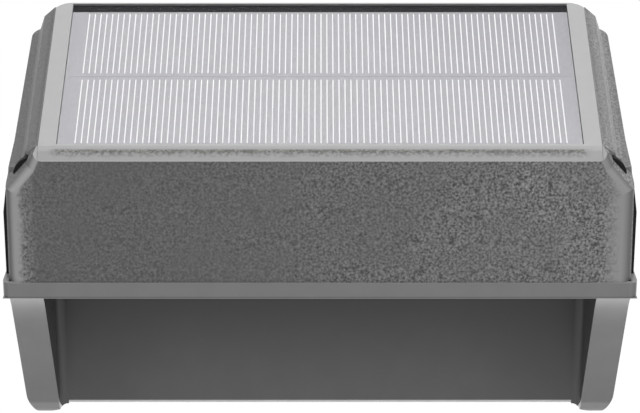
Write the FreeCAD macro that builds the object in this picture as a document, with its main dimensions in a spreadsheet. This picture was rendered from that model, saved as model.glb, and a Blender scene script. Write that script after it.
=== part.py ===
import FreeCAD, Part
import math
import os
import re
import Sketcher
from FreeCAD import Placement, Rotation, Vector

# A solar fence light. Millimetres and degrees. The wall is the plane y = 0, the front looks
# along -Y, +Z is up, and the origin lies midway between the keyholes' entries on the wall plane.

DRIVING_SIZES = {
    # The outline of the whole light.
    "overall_width": 120.0,
    "overall_depth": 44.0,
    "lip_rise": 10.0,
    "lip_height": 3.1,
    "lip_radius": 1.8,
    "legs_drop": 37.3,
    "shell_wall": 2.0,
    # The rear box with its two swept cheeks.
    "cheek_thickness": 6.5,
    "bay_depth": 28.0,
    "plate_thickness": 2.0,
    "plate_round": 0.8,
    "sweep_angle": 29.5,
    "sweep_start": 7.6,
    "sweep_radius": 13.0,
    "heel_radius": 3.0,
    "foot_run": 2.2,
    "foot_rise": 5.5,
    "foot_flat": 1.5,
    "foot_bevel_run": 2.8,
    "foot_bevel_rise": 1.1,
    "foot_inner_radius": 1.5,
    "foot_step": 2.5,
    "room_radius": 3.0,
    "bay_fillet": 1.8,
    # The lamp housing's cover.
    "cover_setback": 0.35,
    "front_lean": 4.6,
    "side_upright": 12.5,
    "shoulder_run": 1.6,
    "shoulder_rise": 11.4,
    "side_draft": 2.4,
    "corner_radius": 2.6,
    "rear_corner_radius": 2.4,
    "panel_tilt": 24.1,
    "top_front_rise": 28.9,
    "front_chamfer": 2.3,
    "hump_inset": 7.1,
    "hump_chamfer": 2.1,
    "hump_chamfer_fall": 1.64,
    "hump_wall_fall": 4.2,
    "hump_wall_lean": 0.9,
    "ledge_fall": 5.4,
    "ledge_flare": 1.3,
    "ledge_toe_run": 0.45,
    "ledge_toe_rise": 0.4,
    "lobe_depth": 5.0,
    "lobe_step": 0.85,
    "lobe_flat": 1.1,
    "lobe_break_run": 0.9,
    "lobe_break_fall": 1.8,
    "gap_width": 1.6,
    "gap_depth": 1.2,
    "gap_tip_rise": 4.0,
    "gap_foot_rise": 0.8,
    "gap_bridge": 2.4,
    "gap_tuck": 0.5,
    "gap_bulge_radius": 3.9,
    # The solar panel and its bezel.
    "frame_rear_inset": 0.85,
    "frame_corner_run": 3.2,
    "frame_corner_fall": 1.5,
    "hump_corner_fall": 0.7,
    "ledge_corner_run": 5.2,
    "ledge_corner_fall": 3.2,
    "rail_land": 0.12,
    "frame_land": 0.25,
    "frame_side": 3.6,
    "frame_front": 0.55,
    "frame_rear": 0.35,
    "fit_gap": 0.05,
    "panel_recess": 0.2,
    "film_thickness": 0.25,
    "cell_thickness": 0.25,
    "board_thickness": 1.0,
    "adhesive_thickness": 0.3,
    "adhesive_width": 2.5,
    "border_width": 2.0,
    "panel_floor": 1.6,
    "wire_way_run": 17.8,
    # The window and the lamp board.
    "window_end_inset": 28.0,
    "window_width": 12.0,
    "window_clearance": 0.5,
    "window_flange": 1.6,
    "window_flange_thickness": 1.2,
    "window_stand": 0.8,
    "window_wall": 1.4,
    "window_gap": 0.15,
    "seal_thickness": 0.6,
    "lamp_board_overhang": 7.0,
    "lamp_board_width": 10.0,
    "lamp_board_thickness": 1.0,
    "lamp_board_rise": 6.6,
    "lamp_post_radius": 2.2,
    "lamp_post_overhang": 4.5,
    "lamp_side": 3.5,
    "lamp_tall": 0.8,
    "lamp_count": 8.0,
    "lamp_margin": 2.95,
    # The push button and its switch.
    "button_inset": 16.0,
    "button_setback": 16.0,
    "button_radius": 4.0,
    "button_play": 0.1,
    "button_proud": 1.2,
    "button_flange": 0.9,
    "button_flange_thickness": 0.7,
    "button_travel": 1.5,
    "plunger_radius": 1.5,
    "plunger_entry": 1.2,
    "switch_side": 7.0,
    "switch_tall": 5.0,
    # The control board.
    "control_gap": 1.4,
    "control_side_inset": 5.6,
    "switch_margin": 0.7,
    "control_rear_inset": 10.2,
    "control_rise": 12.6,
    "control_thickness": 1.6,
    "control_post_radius": 2.2,
    "control_post_inset": 2.6,
    "chip_length": 5.0,
    "chip_width": 4.0,
    "chip_tall": 1.5,
    "chip_offset": 6.0,
    "charger_side": 3.0,
    "charger_offset": 5.0,
    "reservoir_radius": 2.5,
    "reservoir_tall": 5.5,
    "reservoir_inset": 10.2,
    "coil_radius": 3.0,
    "coil_tall": 3.5,
    "coil_offset": 9.0,
    # The battery.
    "battery_radius": 7.1,
    "battery_length": 50.0,
    "battery_end_inset": 15.4,
    "battery_rear_inset": 11.1,
    "battery_rise": 13.0,
    "cradle_wall": 1.4,
    "cradle_gap": 0.3,
    "spring_room": 5.0,
    "spring_wire": 0.35,
    "button_spring_wire": 0.2,
    "tab_room": 1.4,
    "contact_thickness": 0.4,
    # The rear plate and its keyholes.
    "back_plate_thickness": 2.2,
    "back_plate_gap": 0.15,
    "keyhole_spacing": 70.0,
    "keyhole_radius": 4.0,
    "keyhole_slot": 2.1,
    "keyhole_run": 8.0,
    # Bosses, screws and seals.
    "boss_radius": 3.0,
    "screw_radius": 1.3,
    "screw_head_radius": 2.7,
    "screw_head_height": 1.5,
    "screw_clearance": 0.25,
    "cover_boss_inset": 10.5,
    "cover_boss_front": 8.2,
    "cover_boss_rear": 6.6,
    "cover_screw_length": 12.0,
    "back_boss_inset": 8.0,
    "back_boss_top": 7.0,
    "back_boss_foot": 3.8,
    "back_screw_length": 8.0,
    "board_screw_length": 5.0,
    "board_screw_radius": 0.9,
    "board_screw_head": 1.9,
    "seal_inset": 1.1,
    "seal_width": 1.3,
    "seal_depth": 1.0,
    # Internal wires.
    "wire_radius": 0.55,
    "wire_bend": 2.5,
}

# Places that several pieces share, written with the names of the sheet.
FRONT = "(-overall_depth)"
LIP_UNDER = "(lip_rise)"
LIP_TOP = "(lip_rise + lip_height)"
FOOT = "(lip_rise - legs_drop)"
EDGE_Z = "(lip_rise + top_front_rise)"
EDGE_RUN = "((top_front_rise - lip_height - front_chamfer) * tan(front_lean))"
EDGE_Y = f"(-overall_depth + cover_setback + {EDGE_RUN} + front_chamfer)"
COVER_HALF = "(overall_width / 2 - cover_setback / 2)"
PLATE_Y = "(-overall_depth + bay_depth)"
BOX_FRONT = "(-overall_depth + bay_depth + plate_thickness)"
INNER_HALF = "(overall_width / 2 - cheek_thickness)"
BOX_HALF = "(overall_width / 2 - shell_wall)"
PLATE_FOOT = "(lip_rise - legs_drop + foot_step)"
BOX_FOOT = "(lip_rise - legs_drop + foot_step + shell_wall)"
CRADLE_FRONT = "(-battery_rear_inset - battery_radius - cradle_gap - cradle_wall)"
WINDOW_Y = f"({CRADLE_FRONT} - window_clearance - window_flange - window_width / 2)"
BUTTON_Y = "(-overall_depth + button_setback)"
FRAME_HALF = "(hump_half - frame_land)"
OPENING_HALF = "(hump_half - frame_side)"
PANEL_HALF = "(hump_half - frame_side - fit_gap)"
PANEL_FRONT = "(frame_front + fit_gap)"
PANEL_REAR = "(top_length - frame_rear - fit_gap)"
STACK = "(panel_recess + film_thickness + cell_thickness + board_thickness + adhesive_thickness)"
UPRIGHT_Z = "(lip_rise + lip_height + side_upright)"
KNEE_Z = "(lip_rise + top_front_rise - ledge_fall - gap_depth / 2)"
KNEE_HALF = f"({COVER_HALF} - shoulder_run * ({KNEE_Z} - {UPRIGHT_Z}) / shoulder_rise)"

# Sizes that follow from the driving ones. They may be named wherever those may.
DERIVED_SIZES = {
    "hump_half": "(overall_width / 2 - hump_inset)",
    "top_length": f"((-frame_rear_inset - {EDGE_Y}) / cos(panel_tilt))",
    "cover_boss_x": "(overall_width / 2 - cover_boss_inset)",
    "back_boss_x": "(overall_width / 2 - back_boss_inset)",
    "button_x": "(overall_width / 2 - button_inset)",
    "window_length": "(overall_width - 2 * window_end_inset)",
    "lamp_board_length": "(window_length + 2 * lamp_board_overhang)",
    "lamp_post_spacing": "(window_length + 2 * lamp_post_overhang)",
    "lamp_pitch": "((window_length - 2 * window_wall - 2 * lamp_margin - lamp_side) / (lamp_count - 1))",
    "cradle_left": "(-overall_width / 2 + battery_end_inset)",
    "cell_left": "(cradle_left + cradle_wall + spring_room)",
    "cell_right": "(cell_left + battery_length)",
    "cradle_right": "(cell_right + tab_room + cradle_wall)",
    "control_length": "(overall_width / 2 - control_side_inset - cradle_right - control_gap)",
    "control_x": "(overall_width / 2 - control_side_inset - control_length / 2)",
    "control_reach": "(button_setback - switch_side / 2 - switch_margin)",
    "control_width": "(overall_depth - control_reach - control_rear_inset)",
    "frame_thickness": "((front_chamfer - rail_land) * (cos(panel_tilt) - sin(panel_tilt)))",
}

document = FreeCAD.newDocument("fence_light")
sheet = document.addObject("Spreadsheet::Sheet", "Sizes")
for row, (alias, size) in enumerate(DRIVING_SIZES.items(), start=1):
    sheet.set(f"A{row}", alias)
    sheet.set(f"B{row}", str(size))
    sheet.setAlias(f"B{row}", alias)
document.recompute()


def cell(word):
    """What a name in an expression stands for: a function, a derived size or a cell of the sheet."""
    name = word.group()
    if name in ("tan", "cos", "sin"):
        return name
    return sized(DERIVED_SIZES[name]) if name in DERIVED_SIZES else "Sizes." + name


def sized(text):
    """Write out the derived sizes in the text and point every driving size's name at its cell."""
    return re.sub(r"\b[a-z]\w*", cell, text)


def value(text):
    """The number that an expression of sizes comes to."""
    result = sheet.evalExpression(sized(text))
    return float(getattr(result, "Value", result))


def behind_lip(text):
    return f"(-overall_depth + {text})"


def above_lip(text):
    return f"(lip_rise + {text})"


def under_top(y_text, depth_text):
    """Height of the plane that lies a depth below the sloped top, at a place along Y."""
    return f"({EDGE_Z} + ({y_text} - {EDGE_Y}) * tan(panel_tilt) - ({depth_text}) / cos(panel_tilt))"


# ---------------------------------------------------------------------------------------------
# Shared steps of the sketches and features.

def new_body(label):
    body = document.addObject("PartDesign::Body", label)
    body.Label = label
    body.AllowCompound = True
    return body


def new_sketch(body, name, role, base=("0", "0", "0"), tilted=False):
    """A sketch on one of the body's own planes, moved by base and turned up to the panel's tilt."""
    sketch = body.newObject("Sketcher::SketchObject", name)
    plane = next(item for item in body.Origin.OriginFeatures if item.Role == role)
    sketch.AttachmentSupport = [(plane, "")]
    sketch.MapMode = "FlatFace"
    if tilted:
        sketch.AttachmentOffset = Placement(Vector(), Rotation(Vector(1, 0, 0), 20))
        sketch.setExpression("AttachmentOffset.Rotation.Angle", sized("panel_tilt"))
    for letter, text in zip("xyz", base):
        if text != "0":
            sketch.setExpression(f"AttachmentOffset.Base.{letter}", sized(text))
    return sketch


def bind(sketch, kind, geometry, point, text):
    number = sketch.addConstraint(Sketcher.Constraint(kind, -1, 1, geometry, point, value(text)))
    sketch.setExpression(f"Constraints[{number}]", sized(text))


def outline(sketch, points):
    """A closed outline through points given as pairs of expressions.

    A third item on a point is the radius of an arc to the next point, which turns left, or
    right where the item starts with a minus.
    """
    corners = [Vector(value(point[0]), value(point[1]), 0) for point in points]
    ends = []
    for index, corner in enumerate(corners):
        following = corners[(index + 1) % len(points)]
        if len(points[index]) == 2:
            number = sketch.addGeometry(Part.LineSegment(corner, following), False)
            ends.append((number, 1, 2))
            continue
        text = points[index][2]
        turns_right = text.startswith("-")
        start, end = (following, corner) if turns_right else (corner, following)
        radius = value(text.lstrip("-"))
        chord = end - start
        across = Vector(-chord.y, chord.x, 0).normalize()
        centre = (start + end) / 2 + across * math.sqrt(max(radius ** 2 - (chord.Length / 2) ** 2, 0))
        angles = [math.atan2(place.y - centre.y, place.x - centre.x) for place in (start, end)]
        arc = Part.ArcOfCircle(Part.Circle(centre, Vector(0, 0, 1), radius), *angles)
        number = sketch.addGeometry(arc, False)
        ends.append((number, 2, 1) if turns_right else (number, 1, 2))
        constraint = sketch.addConstraint(Sketcher.Constraint("Radius", number, radius))
        sketch.setExpression(f"Constraints[{constraint}]", sized(text.lstrip("-")))
    for index, (number, first, last) in enumerate(ends):
        following = ends[(index + 1) % len(ends)]
        sketch.addConstraint(Sketcher.Constraint("Coincident", number, last, following[0], following[1]))
        bind(sketch, "DistanceX", number, first, points[index][0])
        bind(sketch, "DistanceY", number, first, points[index][1])
    return sketch


def rectangle(sketch, x_low, x_high, y_low, y_high):
    return outline(sketch, [(x_low, y_low), (x_high, y_low), (x_high, y_high), (x_low, y_high)])


def circle(sketch, x, y, radius):
    centre = Vector(value(x), value(y), 0)
    number = sketch.addGeometry(Part.Circle(centre, Vector(0, 0, 1), value(radius)), False)
    bind(sketch, "DistanceX", number, 3, x)
    bind(sketch, "DistanceY", number, 3, y)
    constraint = sketch.addConstraint(Sketcher.Constraint("Radius", number, value(radius)))
    sketch.setExpression(f"Constraints[{constraint}]", sized(radius))
    return sketch


def mirrored_points(points):
    """The outline across the middle, the other way round, each arc on the point where it now starts."""
    return [(f"(-({points[index][0]}))", points[index][1], *points[index - 1][2:])
            for index in reversed(range(len(points)))]


def pad(body, sketch, length, both_ways=False, backwards=False):
    feature = body.newObject("PartDesign::Pad", sketch.Name + "_pad")
    feature.Profile = sketch
    feature.SideType = "Symmetric" if both_ways else "One side"
    feature.Reversed = backwards
    feature.setExpression("Length", sized(length))
    document.recompute()
    return feature


def cut(body, sketch, length=None, both_ways=False, backwards=False):
    """A pocket, through everything when no length is given, that must take material away."""
    before = body.Shape.Volume
    feature = body.newObject("PartDesign::Pocket", sketch.Name + "_pocket")
    feature.Profile = sketch
    feature.SideType = "Symmetric" if both_ways else "One side"
    feature.Reversed = backwards
    if length is None:
        feature.Type = "ThroughAll"
    else:
        feature.setExpression("Length", sized(length))
    document.recompute()
    if not body.Shape.Volume < before:
        raise RuntimeError(f"{feature.Name} cut nothing")
    return feature


def edges_where(shape, test):
    """Names of the edges whose middle point and direction satisfy the test."""
    names = []
    for number, edge in enumerate(shape.Edges, start=1):
        middle = edge.valueAt((edge.FirstParameter + edge.LastParameter) / 2)
        start, end = edge.valueAt(edge.FirstParameter), edge.valueAt(edge.LastParameter)
        if test(middle, end - start, edge):
            names.append(f"Edge{number}")
    return names


def dress(body, kind, radius, test):
    """Fillet or chamfer the edges that satisfy the test."""
    base = body.Tip
    names = edges_where(base.Shape, test)
    if not names:
        raise RuntimeError(f"no edge of {body.Label} to dress")
    feature = body.newObject("PartDesign::" + kind, f"{body.Label}_{kind.lower()}")
    feature.Base = (base, names)
    feature.setExpression("Radius" if kind == "Fillet" else "Size", sized(radius))
    document.recompute()
    return feature


def primitive(kind, name, sizes, place=("0", "0", "0"), turn=None):
    """A Part primitive whose sizes and place are bound to the sheet."""
    item = document.addObject("Part::" + kind, name)
    if turn:
        item.Placement = Placement(Vector(), turn)
    for letter, text in zip("xyz", place):
        item.setExpression(f"Placement.Base.{letter}", sized(text))
    for attribute, text in sizes.items():
        item.setExpression(attribute, sized(text))
    return item


def block(name, x, y, z, length, width, height):
    """A box centred on x and y that stands on z."""
    place = (f"{x} - ({length}) / 2", f"{y} - ({width}) / 2", z)
    return primitive("Box", name, {"Length": length, "Width": width, "Height": height}, place)


def combined(kind, name, items):
    if kind == "Compound":
        result = document.addObject("Part::Compound", name)
        result.Links = items
    else:
        result = document.addObject("Part::MultiFuse", name)
        result.Shapes = items
    document.recompute()
    return result


UPWARD = Rotation()
DOWNWARD = Rotation(Vector(1, 0, 0), 180)
INWARD = Rotation(Vector(1, 0, 0), 90)
ALONG_X = Rotation(Vector(0, 1, 0), 90)


def screw(name, place, turn, length, radius, head_radius, head_height, flat=False):
    """A screw whose head rests on its place and whose shank runs along the turned +Z."""
    shank = document.addObject("Part::Prism", name + "_shank")
    shank.Polygon = 8
    shank.setExpression("Circumradius", sized(radius))
    shank.setExpression("Height", sized(length))
    if flat:
        cone = {"Radius1": head_radius, "Radius2": radius, "Height": head_height}
        head = primitive("Cone", name + "_head", cone)
    else:
        drum = {"Radius": head_radius, "Height": head_height}
        head = primitive("Cylinder", name + "_head", drum, ("0", "0", f"-({head_height})"))
    result = combined("Fuse", name, [shank, head])
    result.Placement = Placement(Vector(), turn)
    for letter, text in zip("xyz", place):
        result.setExpression(f"Placement.Base.{letter}", sized(text))
    return result


def finished(item, label):
    item.Label = label
    nodes.append(item)
    return item


nodes = []

# ---------------------------------------------------------------------------------------------
# Top cover: a drafted box with a sloped top, a stepped ledge along each side, a front lobe that
# stands behind a sealed gap, and screw bosses inside.

SCREW_X = ("cover_boss_x", "(-cover_boss_x)")
SCREW_Y = (behind_lip("cover_boss_front"), "(-cover_boss_rear)")
BLANK_RISE = "(top_front_rise + top_length)"
BEYOND = "(overall_depth / 4)"

cover = new_body("top_cover")
blank = new_sketch(cover, "cover_blank", "XZ_Plane")
SHOULDER_HALF = f"({COVER_HALF} - shoulder_run)"
BLANK_HALF = f"({SHOULDER_HALF} - ({BLANK_RISE} - side_upright - shoulder_rise) * tan(side_draft))"
blank_side = [(COVER_HALF, LIP_TOP), (COVER_HALF, UPRIGHT_Z), (SHOULDER_HALF, f"{UPRIGHT_Z} + shoulder_rise"),
              (BLANK_HALF, f"{LIP_TOP} + {BLANK_RISE}")]
outline(blank, blank_side + mirrored_points(blank_side))
pad(cover, blank, "overall_depth - cover_setback")
lean = new_sketch(cover, "front_lean_cut", "YZ_Plane")
outline(lean, [(f"({FRONT} + cover_setback)", LIP_TOP),
               (f"({FRONT} + cover_setback + {BLANK_RISE} * tan(front_lean))", f"{LIP_TOP} + {BLANK_RISE}"),
               (f"({FRONT} - {BEYOND})", f"{LIP_TOP} + {BLANK_RISE}"), (f"({FRONT} - {BEYOND})", LIP_TOP)])
cut(cover, lean, both_ways=True)


def upright(edge_vector):
    return abs(edge_vector.z) > 0.8 * edge_vector.Length


# The room inside, in two steps below the sloped top.
INNER_FRONT = f"({FRONT} + cover_setback + shell_wall)"
INNER_TOP_FRONT = f"({INNER_FRONT} + (top_front_rise - lip_height) * tan(front_lean))"
INNER_REAR = "(-shell_wall)"
ROOM_HALF = f"({KNEE_HALF} - shell_wall)"
UPPER_HALF = "(cover_boss_x - boss_radius - shell_wall / 2)"
LEDGE_CEILING = "(ledge_fall + shell_wall)"
PANEL_CEILING = f"({STACK} + panel_floor)"
for name, ceiling, half in (("room_low", LEDGE_CEILING, ROOM_HALF), ("room_high", PANEL_CEILING, UPPER_HALF)):
    room = new_sketch(cover, name, "YZ_Plane")
    outline(room, [(INNER_FRONT, f"{LIP_TOP} - shell_wall"), (INNER_REAR, f"{LIP_TOP} - shell_wall"),
                   (INNER_REAR, under_top(INNER_REAR, ceiling)),
                   (INNER_TOP_FRONT, under_top(INNER_TOP_FRONT, ceiling))])
    cut(cover, room, f"2 * {half}", both_ways=True)

dress(cover, "Fillet", "rear_corner_radius",
      lambda middle, along, edge: upright(along) and abs(middle.x) > value(ROOM_HALF) + 0.1
      and middle.y > -0.01)

bosses = new_sketch(cover, "cover_bosses", "XY_Plane", ("0", "0", LIP_TOP))
for boss_x in SCREW_X:
    for boss_y in SCREW_Y:
        circle(bosses, boss_x, boss_y, "boss_radius")
pad(cover, bosses, f"{under_top(SCREW_Y[1], 'ledge_fall + shell_wall / 2')} - {LIP_TOP}")

# The sloped top with its front chamfer.
slope = new_sketch(cover, "cover_slope", "YZ_Plane")
outline(slope, [(f"({EDGE_Y} - front_chamfer - {BEYOND})", f"({EDGE_Z} - front_chamfer - {BEYOND})"),
                (EDGE_Y, EDGE_Z), (BEYOND, under_top(BEYOND, "0")), (BEYOND, f"{EDGE_Z} + 2 * overall_depth"),
                (f"({EDGE_Y} - front_chamfer - {BEYOND})", f"{EDGE_Z} + 2 * overall_depth")])
cut(cover, slope, both_ways=True)

# The stepped side sections, cut along the slope behind the front lobe.
ALONG_SLOPE = ("0", EDGE_Z, f"(-{EDGE_Y})")
WIDE = "(overall_width)"
HUMP_WALL_X = "(hump_half + hump_chamfer)"
HUMP_FOOT_X = "(hump_half + hump_chamfer + hump_wall_lean)"
side_section = [("hump_half", "overall_depth"), ("hump_half", "0"),
                (HUMP_WALL_X, "(-hump_chamfer_fall)"), (HUMP_FOOT_X, "(-hump_wall_fall)"),
                (f"({HUMP_FOOT_X} + ledge_toe_run)", "(-ledge_fall + ledge_toe_rise)"),
                (f"({HUMP_FOOT_X} + ledge_flare)", "(-ledge_fall)"),
                (WIDE, "(-ledge_fall)"), (WIDE, "overall_depth")]
section = new_sketch(cover, "side_sections", "XZ_Plane", ALONG_SLOPE, tilted=True)
outline(section, side_section)
outline(section, mirrored_points(side_section))
cut(cover, section)

# The front lobe's corners fall away at 45 degrees in place of the steps, with a short steep break.
BREAK_X = "(hump_half + lobe_flat + lobe_break_run)"
lobe_section = [("hump_half", "overall_depth"), ("hump_half", "0"),
                ("(hump_half + lobe_flat)", "(-lobe_flat)"), (BREAK_X, "(-lobe_flat - lobe_break_fall)"),
                (f"({BREAK_X} + {WIDE})", f"(-lobe_flat - lobe_break_fall - {WIDE})"),
                (f"({BREAK_X} + {WIDE})", "overall_depth")]
lobe = new_sketch(cover, "lobe_sections", "XZ_Plane", ALONG_SLOPE, tilted=True)
outline(lobe, lobe_section)
outline(lobe, mirrored_points(lobe_section))
cut(cover, lobe, backwards=True)

# The rear corners of the raised part round off in plan, and those of the bezel with them.
TOP_PLANE = ("0", EDGE_Y, EDGE_Z)
CORNER_RADIUS = "((frame_corner_run ^ 2 + frame_corner_fall ^ 2) / (2 * frame_corner_fall))"
CORNER_LOW = "(top_length - frame_corner_fall)"


def round_rear_corners(body, name, half, depth, onward):
    """Cut the sloped top's two rear corners: an arc square to the rear edge, then on through points."""
    corners = new_sketch(body, name, "XY_Plane", TOP_PLANE, tilted=True)
    start_x = f"({half} - frame_corner_run)"
    end_x = onward[-1][0]
    far_rear = f"(top_length + {BEYOND})"
    outline(corners, [(start_x, far_rear), (start_x, "top_length", f"-{CORNER_RADIUS}"), (half, CORNER_LOW),
                      *onward, (end_x, far_rear)])
    outline(corners, [(f"(-{end_x})", far_rear), *mirrored_points(onward),
                      (f"(-{half})", CORNER_LOW, f"-{CORNER_RADIUS}"), (f"(-{start_x})", "top_length"),
                      (f"(-{start_x})", far_rear)])
    cut(body, corners, depth)


hump_corner = (HUMP_WALL_X, f"({CORNER_LOW} - hump_corner_fall)")
ledge_corner = (f"({HUMP_WALL_X} + ledge_corner_run)", f"({hump_corner[1]} - ledge_corner_fall)")
round_rear_corners(cover, "cover_rear_corners", "hump_half", "ledge_fall", [hump_corner, ledge_corner])

# The gap between the lobe and the sides, which a strip seal fills.
GAP_FRONT = behind_lip("lobe_depth")


GAP_TOP = f"({KNEE_Z} - gap_bridge)"
GAP_TOP_HALF = f"({COVER_HALF} - shoulder_run * ({GAP_TOP} - {UPRIGHT_Z}) / shoulder_rise)"


def side_gap(inset, outset):
    """The straight part of the gap, up the cover's side to a little below the hump's step."""
    return [(f"({COVER_HALF} - ({inset}))", LIP_TOP), (f"({COVER_HALF} + ({outset}))", LIP_TOP),
            (f"({COVER_HALF} + ({outset}))", UPRIGHT_Z), (f"({GAP_TOP_HALF} + ({outset}))", GAP_TOP),
            (f"({GAP_TOP_HALF} - ({inset}))", GAP_TOP), (f"({COVER_HALF} - ({inset}))", UPRIGHT_Z)]


def on_shoulder(rise, inset):
    """A place on the 45 degree line inwards from the knee, moved square off that line by an inset."""
    return (f"({KNEE_HALF} - ({rise}) - ({inset}) * cos(45))", f"({KNEE_Z} + ({rise}) - ({inset}) * cos(45))")


side_slot = side_gap("gap_depth", "gap_depth")
shoulder_slot = [on_shoulder("gap_foot_rise", "gap_depth"), on_shoulder("gap_foot_rise", "(-gap_depth)"),
                 on_shoulder("gap_tip_rise", "(-gap_depth)"), on_shoulder("gap_tip_rise", "gap_depth")]
gap = new_sketch(cover, "lobe_gap", "XZ_Plane", ("0", "0", f"(-({GAP_FRONT}))"))
for slot in (side_slot, shoulder_slot):
    outline(gap, slot)
    outline(gap, mirrored_points(slot))
cut(cover, gap, "gap_width")

step = new_sketch(cover, "lobe_step", "XZ_Plane", ("0", "0", "(overall_depth)"))
step_section = [(f"({COVER_HALF} - lobe_step)", LIP_TOP), (f"({COVER_HALF} + shell_wall)", LIP_TOP),
                (f"({COVER_HALF} + shell_wall)", KNEE_Z), (f"({COVER_HALF} - lobe_step)", KNEE_Z)]
outline(step, step_section)
outline(step, mirrored_points(step_section))
cut(cover, step, "lobe_depth")


def up_the_front(middle, along):
    """Whether an edge climbs the lobe's leaning front face outside the hump."""
    front_y = value(FRONT) + value("cover_setback")
    lean_y = front_y + (middle.z - value(LIP_TOP)) * value("tan(front_lean)")
    steep = abs(along.z) > along.Length / 2
    return steep and abs(middle.x) > value("hump_half") and abs(middle.y - lean_y) < 0.01


dress(cover, "Fillet", "corner_radius", lambda middle, along, edge: up_the_front(middle, along))

# Seats for the bezel and for the panel, the wires' way down, and the screws' pilot holes.
frame_seat = new_sketch(cover, "frame_seat", "YZ_Plane")
FAR_FRONT = f"({EDGE_Y} - {BEYOND})"
outline(frame_seat, [(FAR_FRONT, under_top(FAR_FRONT, "frame_thickness")),
                     (BEYOND, under_top(BEYOND, "frame_thickness")),
                     (BEYOND, under_top(BEYOND, "(-frame_thickness)")),
                     (FAR_FRONT, under_top(FAR_FRONT, "(-frame_thickness)"))])
cut(cover, frame_seat, f"2 * ({FRAME_HALF} + fit_gap)", both_ways=True)
panel_seat = new_sketch(cover, "panel_seat", "XY_Plane", TOP_PLANE, tilted=True)
rectangle(panel_seat, f"(-{OPENING_HALF})", OPENING_HALF, "frame_front", "(top_length - frame_rear)")
cut(cover, panel_seat, STACK)
wire_way = new_sketch(cover, "wire_way", "XY_Plane", TOP_PLANE, tilted=True)
circle(wire_way, "control_x", "wire_way_run", "boss_radius")
cut(cover, wire_way, f"{PANEL_CEILING} + shell_wall")
pilots = new_sketch(cover, "cover_pilots", "XY_Plane", ("0", "0", LIP_TOP))
for boss_x in SCREW_X:
    for boss_y in SCREW_Y:
        circle(pilots, boss_x, boss_y, "screw_radius")
cut(cover, pilots, "cover_screw_length", backwards=True)
finished(cover, "top_cover")

# Strip seals: a straight one flush with each side, and a crescent in each gap at the lobe's shoulder.
strips = new_body("side_seals")
strip_face = new_sketch(strips, "strip_faces", "XZ_Plane", ("0", "0", f"(-({GAP_FRONT}) - fit_gap)"))
crescent = [on_shoulder("gap_foot_rise + fit_gap", "gap_depth - fit_gap"),
            (*on_shoulder("gap_foot_rise + fit_gap", "gap_tuck"), "gap_bulge_radius"),
            on_shoulder("gap_tip_rise - fit_gap", "gap_tuck"),
            on_shoulder("gap_tip_rise - fit_gap", "gap_depth - fit_gap")]
for strip in (side_gap("gap_depth - fit_gap", "(-fit_gap)"), crescent):
    outline(strip_face, strip)
    outline(strip_face, mirrored_points(strip))
pad(strips, strip_face, "gap_width - 2 * fit_gap", backwards=True)
finished(strips, "side_seals")

# ---------------------------------------------------------------------------------------------
# Panel frame: the smooth bezel, chamfered along the front and open over the panel.

frame = new_body("panel_frame")
frame_side = new_sketch(frame, "frame_outline", "YZ_Plane")
RAIL_FALL = "(front_chamfer - rail_land)"
REAR_Y = f"({EDGE_Y} + top_length * cos(panel_tilt))"
outline(frame_side, [(EDGE_Y, EDGE_Z),
                     (f"({EDGE_Y} - {RAIL_FALL})", f"({EDGE_Z} - {RAIL_FALL})"),
                     (REAR_Y, under_top(REAR_Y, "frame_thickness")),
                     (REAR_Y, under_top(REAR_Y, "0"))])
pad(frame, frame_side, f"2 * {FRAME_HALF}", both_ways=True)
opening = new_sketch(frame, "frame_opening", "XY_Plane", TOP_PLANE, tilted=True)
rectangle(opening, f"(-{OPENING_HALF})", OPENING_HALF, "frame_front", "(top_length - frame_rear)")
cut(frame, opening, "3 * frame_thickness", both_ways=True)
frame_corner = (HUMP_WALL_X, CORNER_LOW)
round_rear_corners(frame, "frame_rear_corners", FRAME_HALF, "2 * frame_thickness", [frame_corner])
finished(frame, "panel_frame")

# The panel's layers, from the sealant bead up to the clear film, all square to the slope.


def layer(label, depth, thickness, half, front, rear, inner=None):
    """A flat layer whose upper face lies a depth below the sloped top."""
    body = new_body(label)
    plate = new_sketch(body, label + "_outline", "XY_Plane", TOP_PLANE, tilted=True)
    rectangle(plate, f"(-({half}))", half, front, rear)
    if inner:
        rectangle(plate, f"(-({half}) + {inner})", f"(({half}) - {inner})",
                  f"({front} + {inner})", f"({rear} - {inner})")
    feature = pad(body, plate, thickness, backwards=True)
    plate.setExpression("AttachmentOffset.Base.y", sized(f"{EDGE_Y} + ({depth}) * sin(panel_tilt)"))
    plate.setExpression("AttachmentOffset.Base.z", sized(f"{EDGE_Z} - ({depth}) * cos(panel_tilt)"))
    document.recompute()
    return finished(body, label)


CELL_DEPTH = "(panel_recess + film_thickness)"
BOARD_DEPTH = "(panel_recess + film_thickness + cell_thickness)"
BEAD_DEPTH = "(panel_recess + film_thickness + cell_thickness + board_thickness)"
CELL_REAR = f"({PANEL_REAR} - border_width - fit_gap)"
CELL_MIDDLE = f"(({PANEL_FRONT} + {CELL_REAR}) / 2)"
layer("panel_film", "panel_recess", "film_thickness", PANEL_HALF, PANEL_FRONT, PANEL_REAR)
layer("panel_border", CELL_DEPTH, "cell_thickness", PANEL_HALF, f"({PANEL_REAR} - border_width)", PANEL_REAR)
layer("panel_board", BOARD_DEPTH, "board_thickness", PANEL_HALF, PANEL_FRONT, PANEL_REAR)
layer("panel_adhesive", BEAD_DEPTH, "adhesive_thickness", PANEL_HALF, PANEL_FRONT, PANEL_REAR,
      inner="adhesive_width")
cells = new_body("solar_cells")
cell_rows = new_sketch(cells, "cell_rows", "XY_Plane", ("0", f"{EDGE_Y} + {CELL_DEPTH} * sin(panel_tilt)",
                                                        f"{EDGE_Z} - {CELL_DEPTH} * cos(panel_tilt)"),
                       tilted=True)
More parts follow.
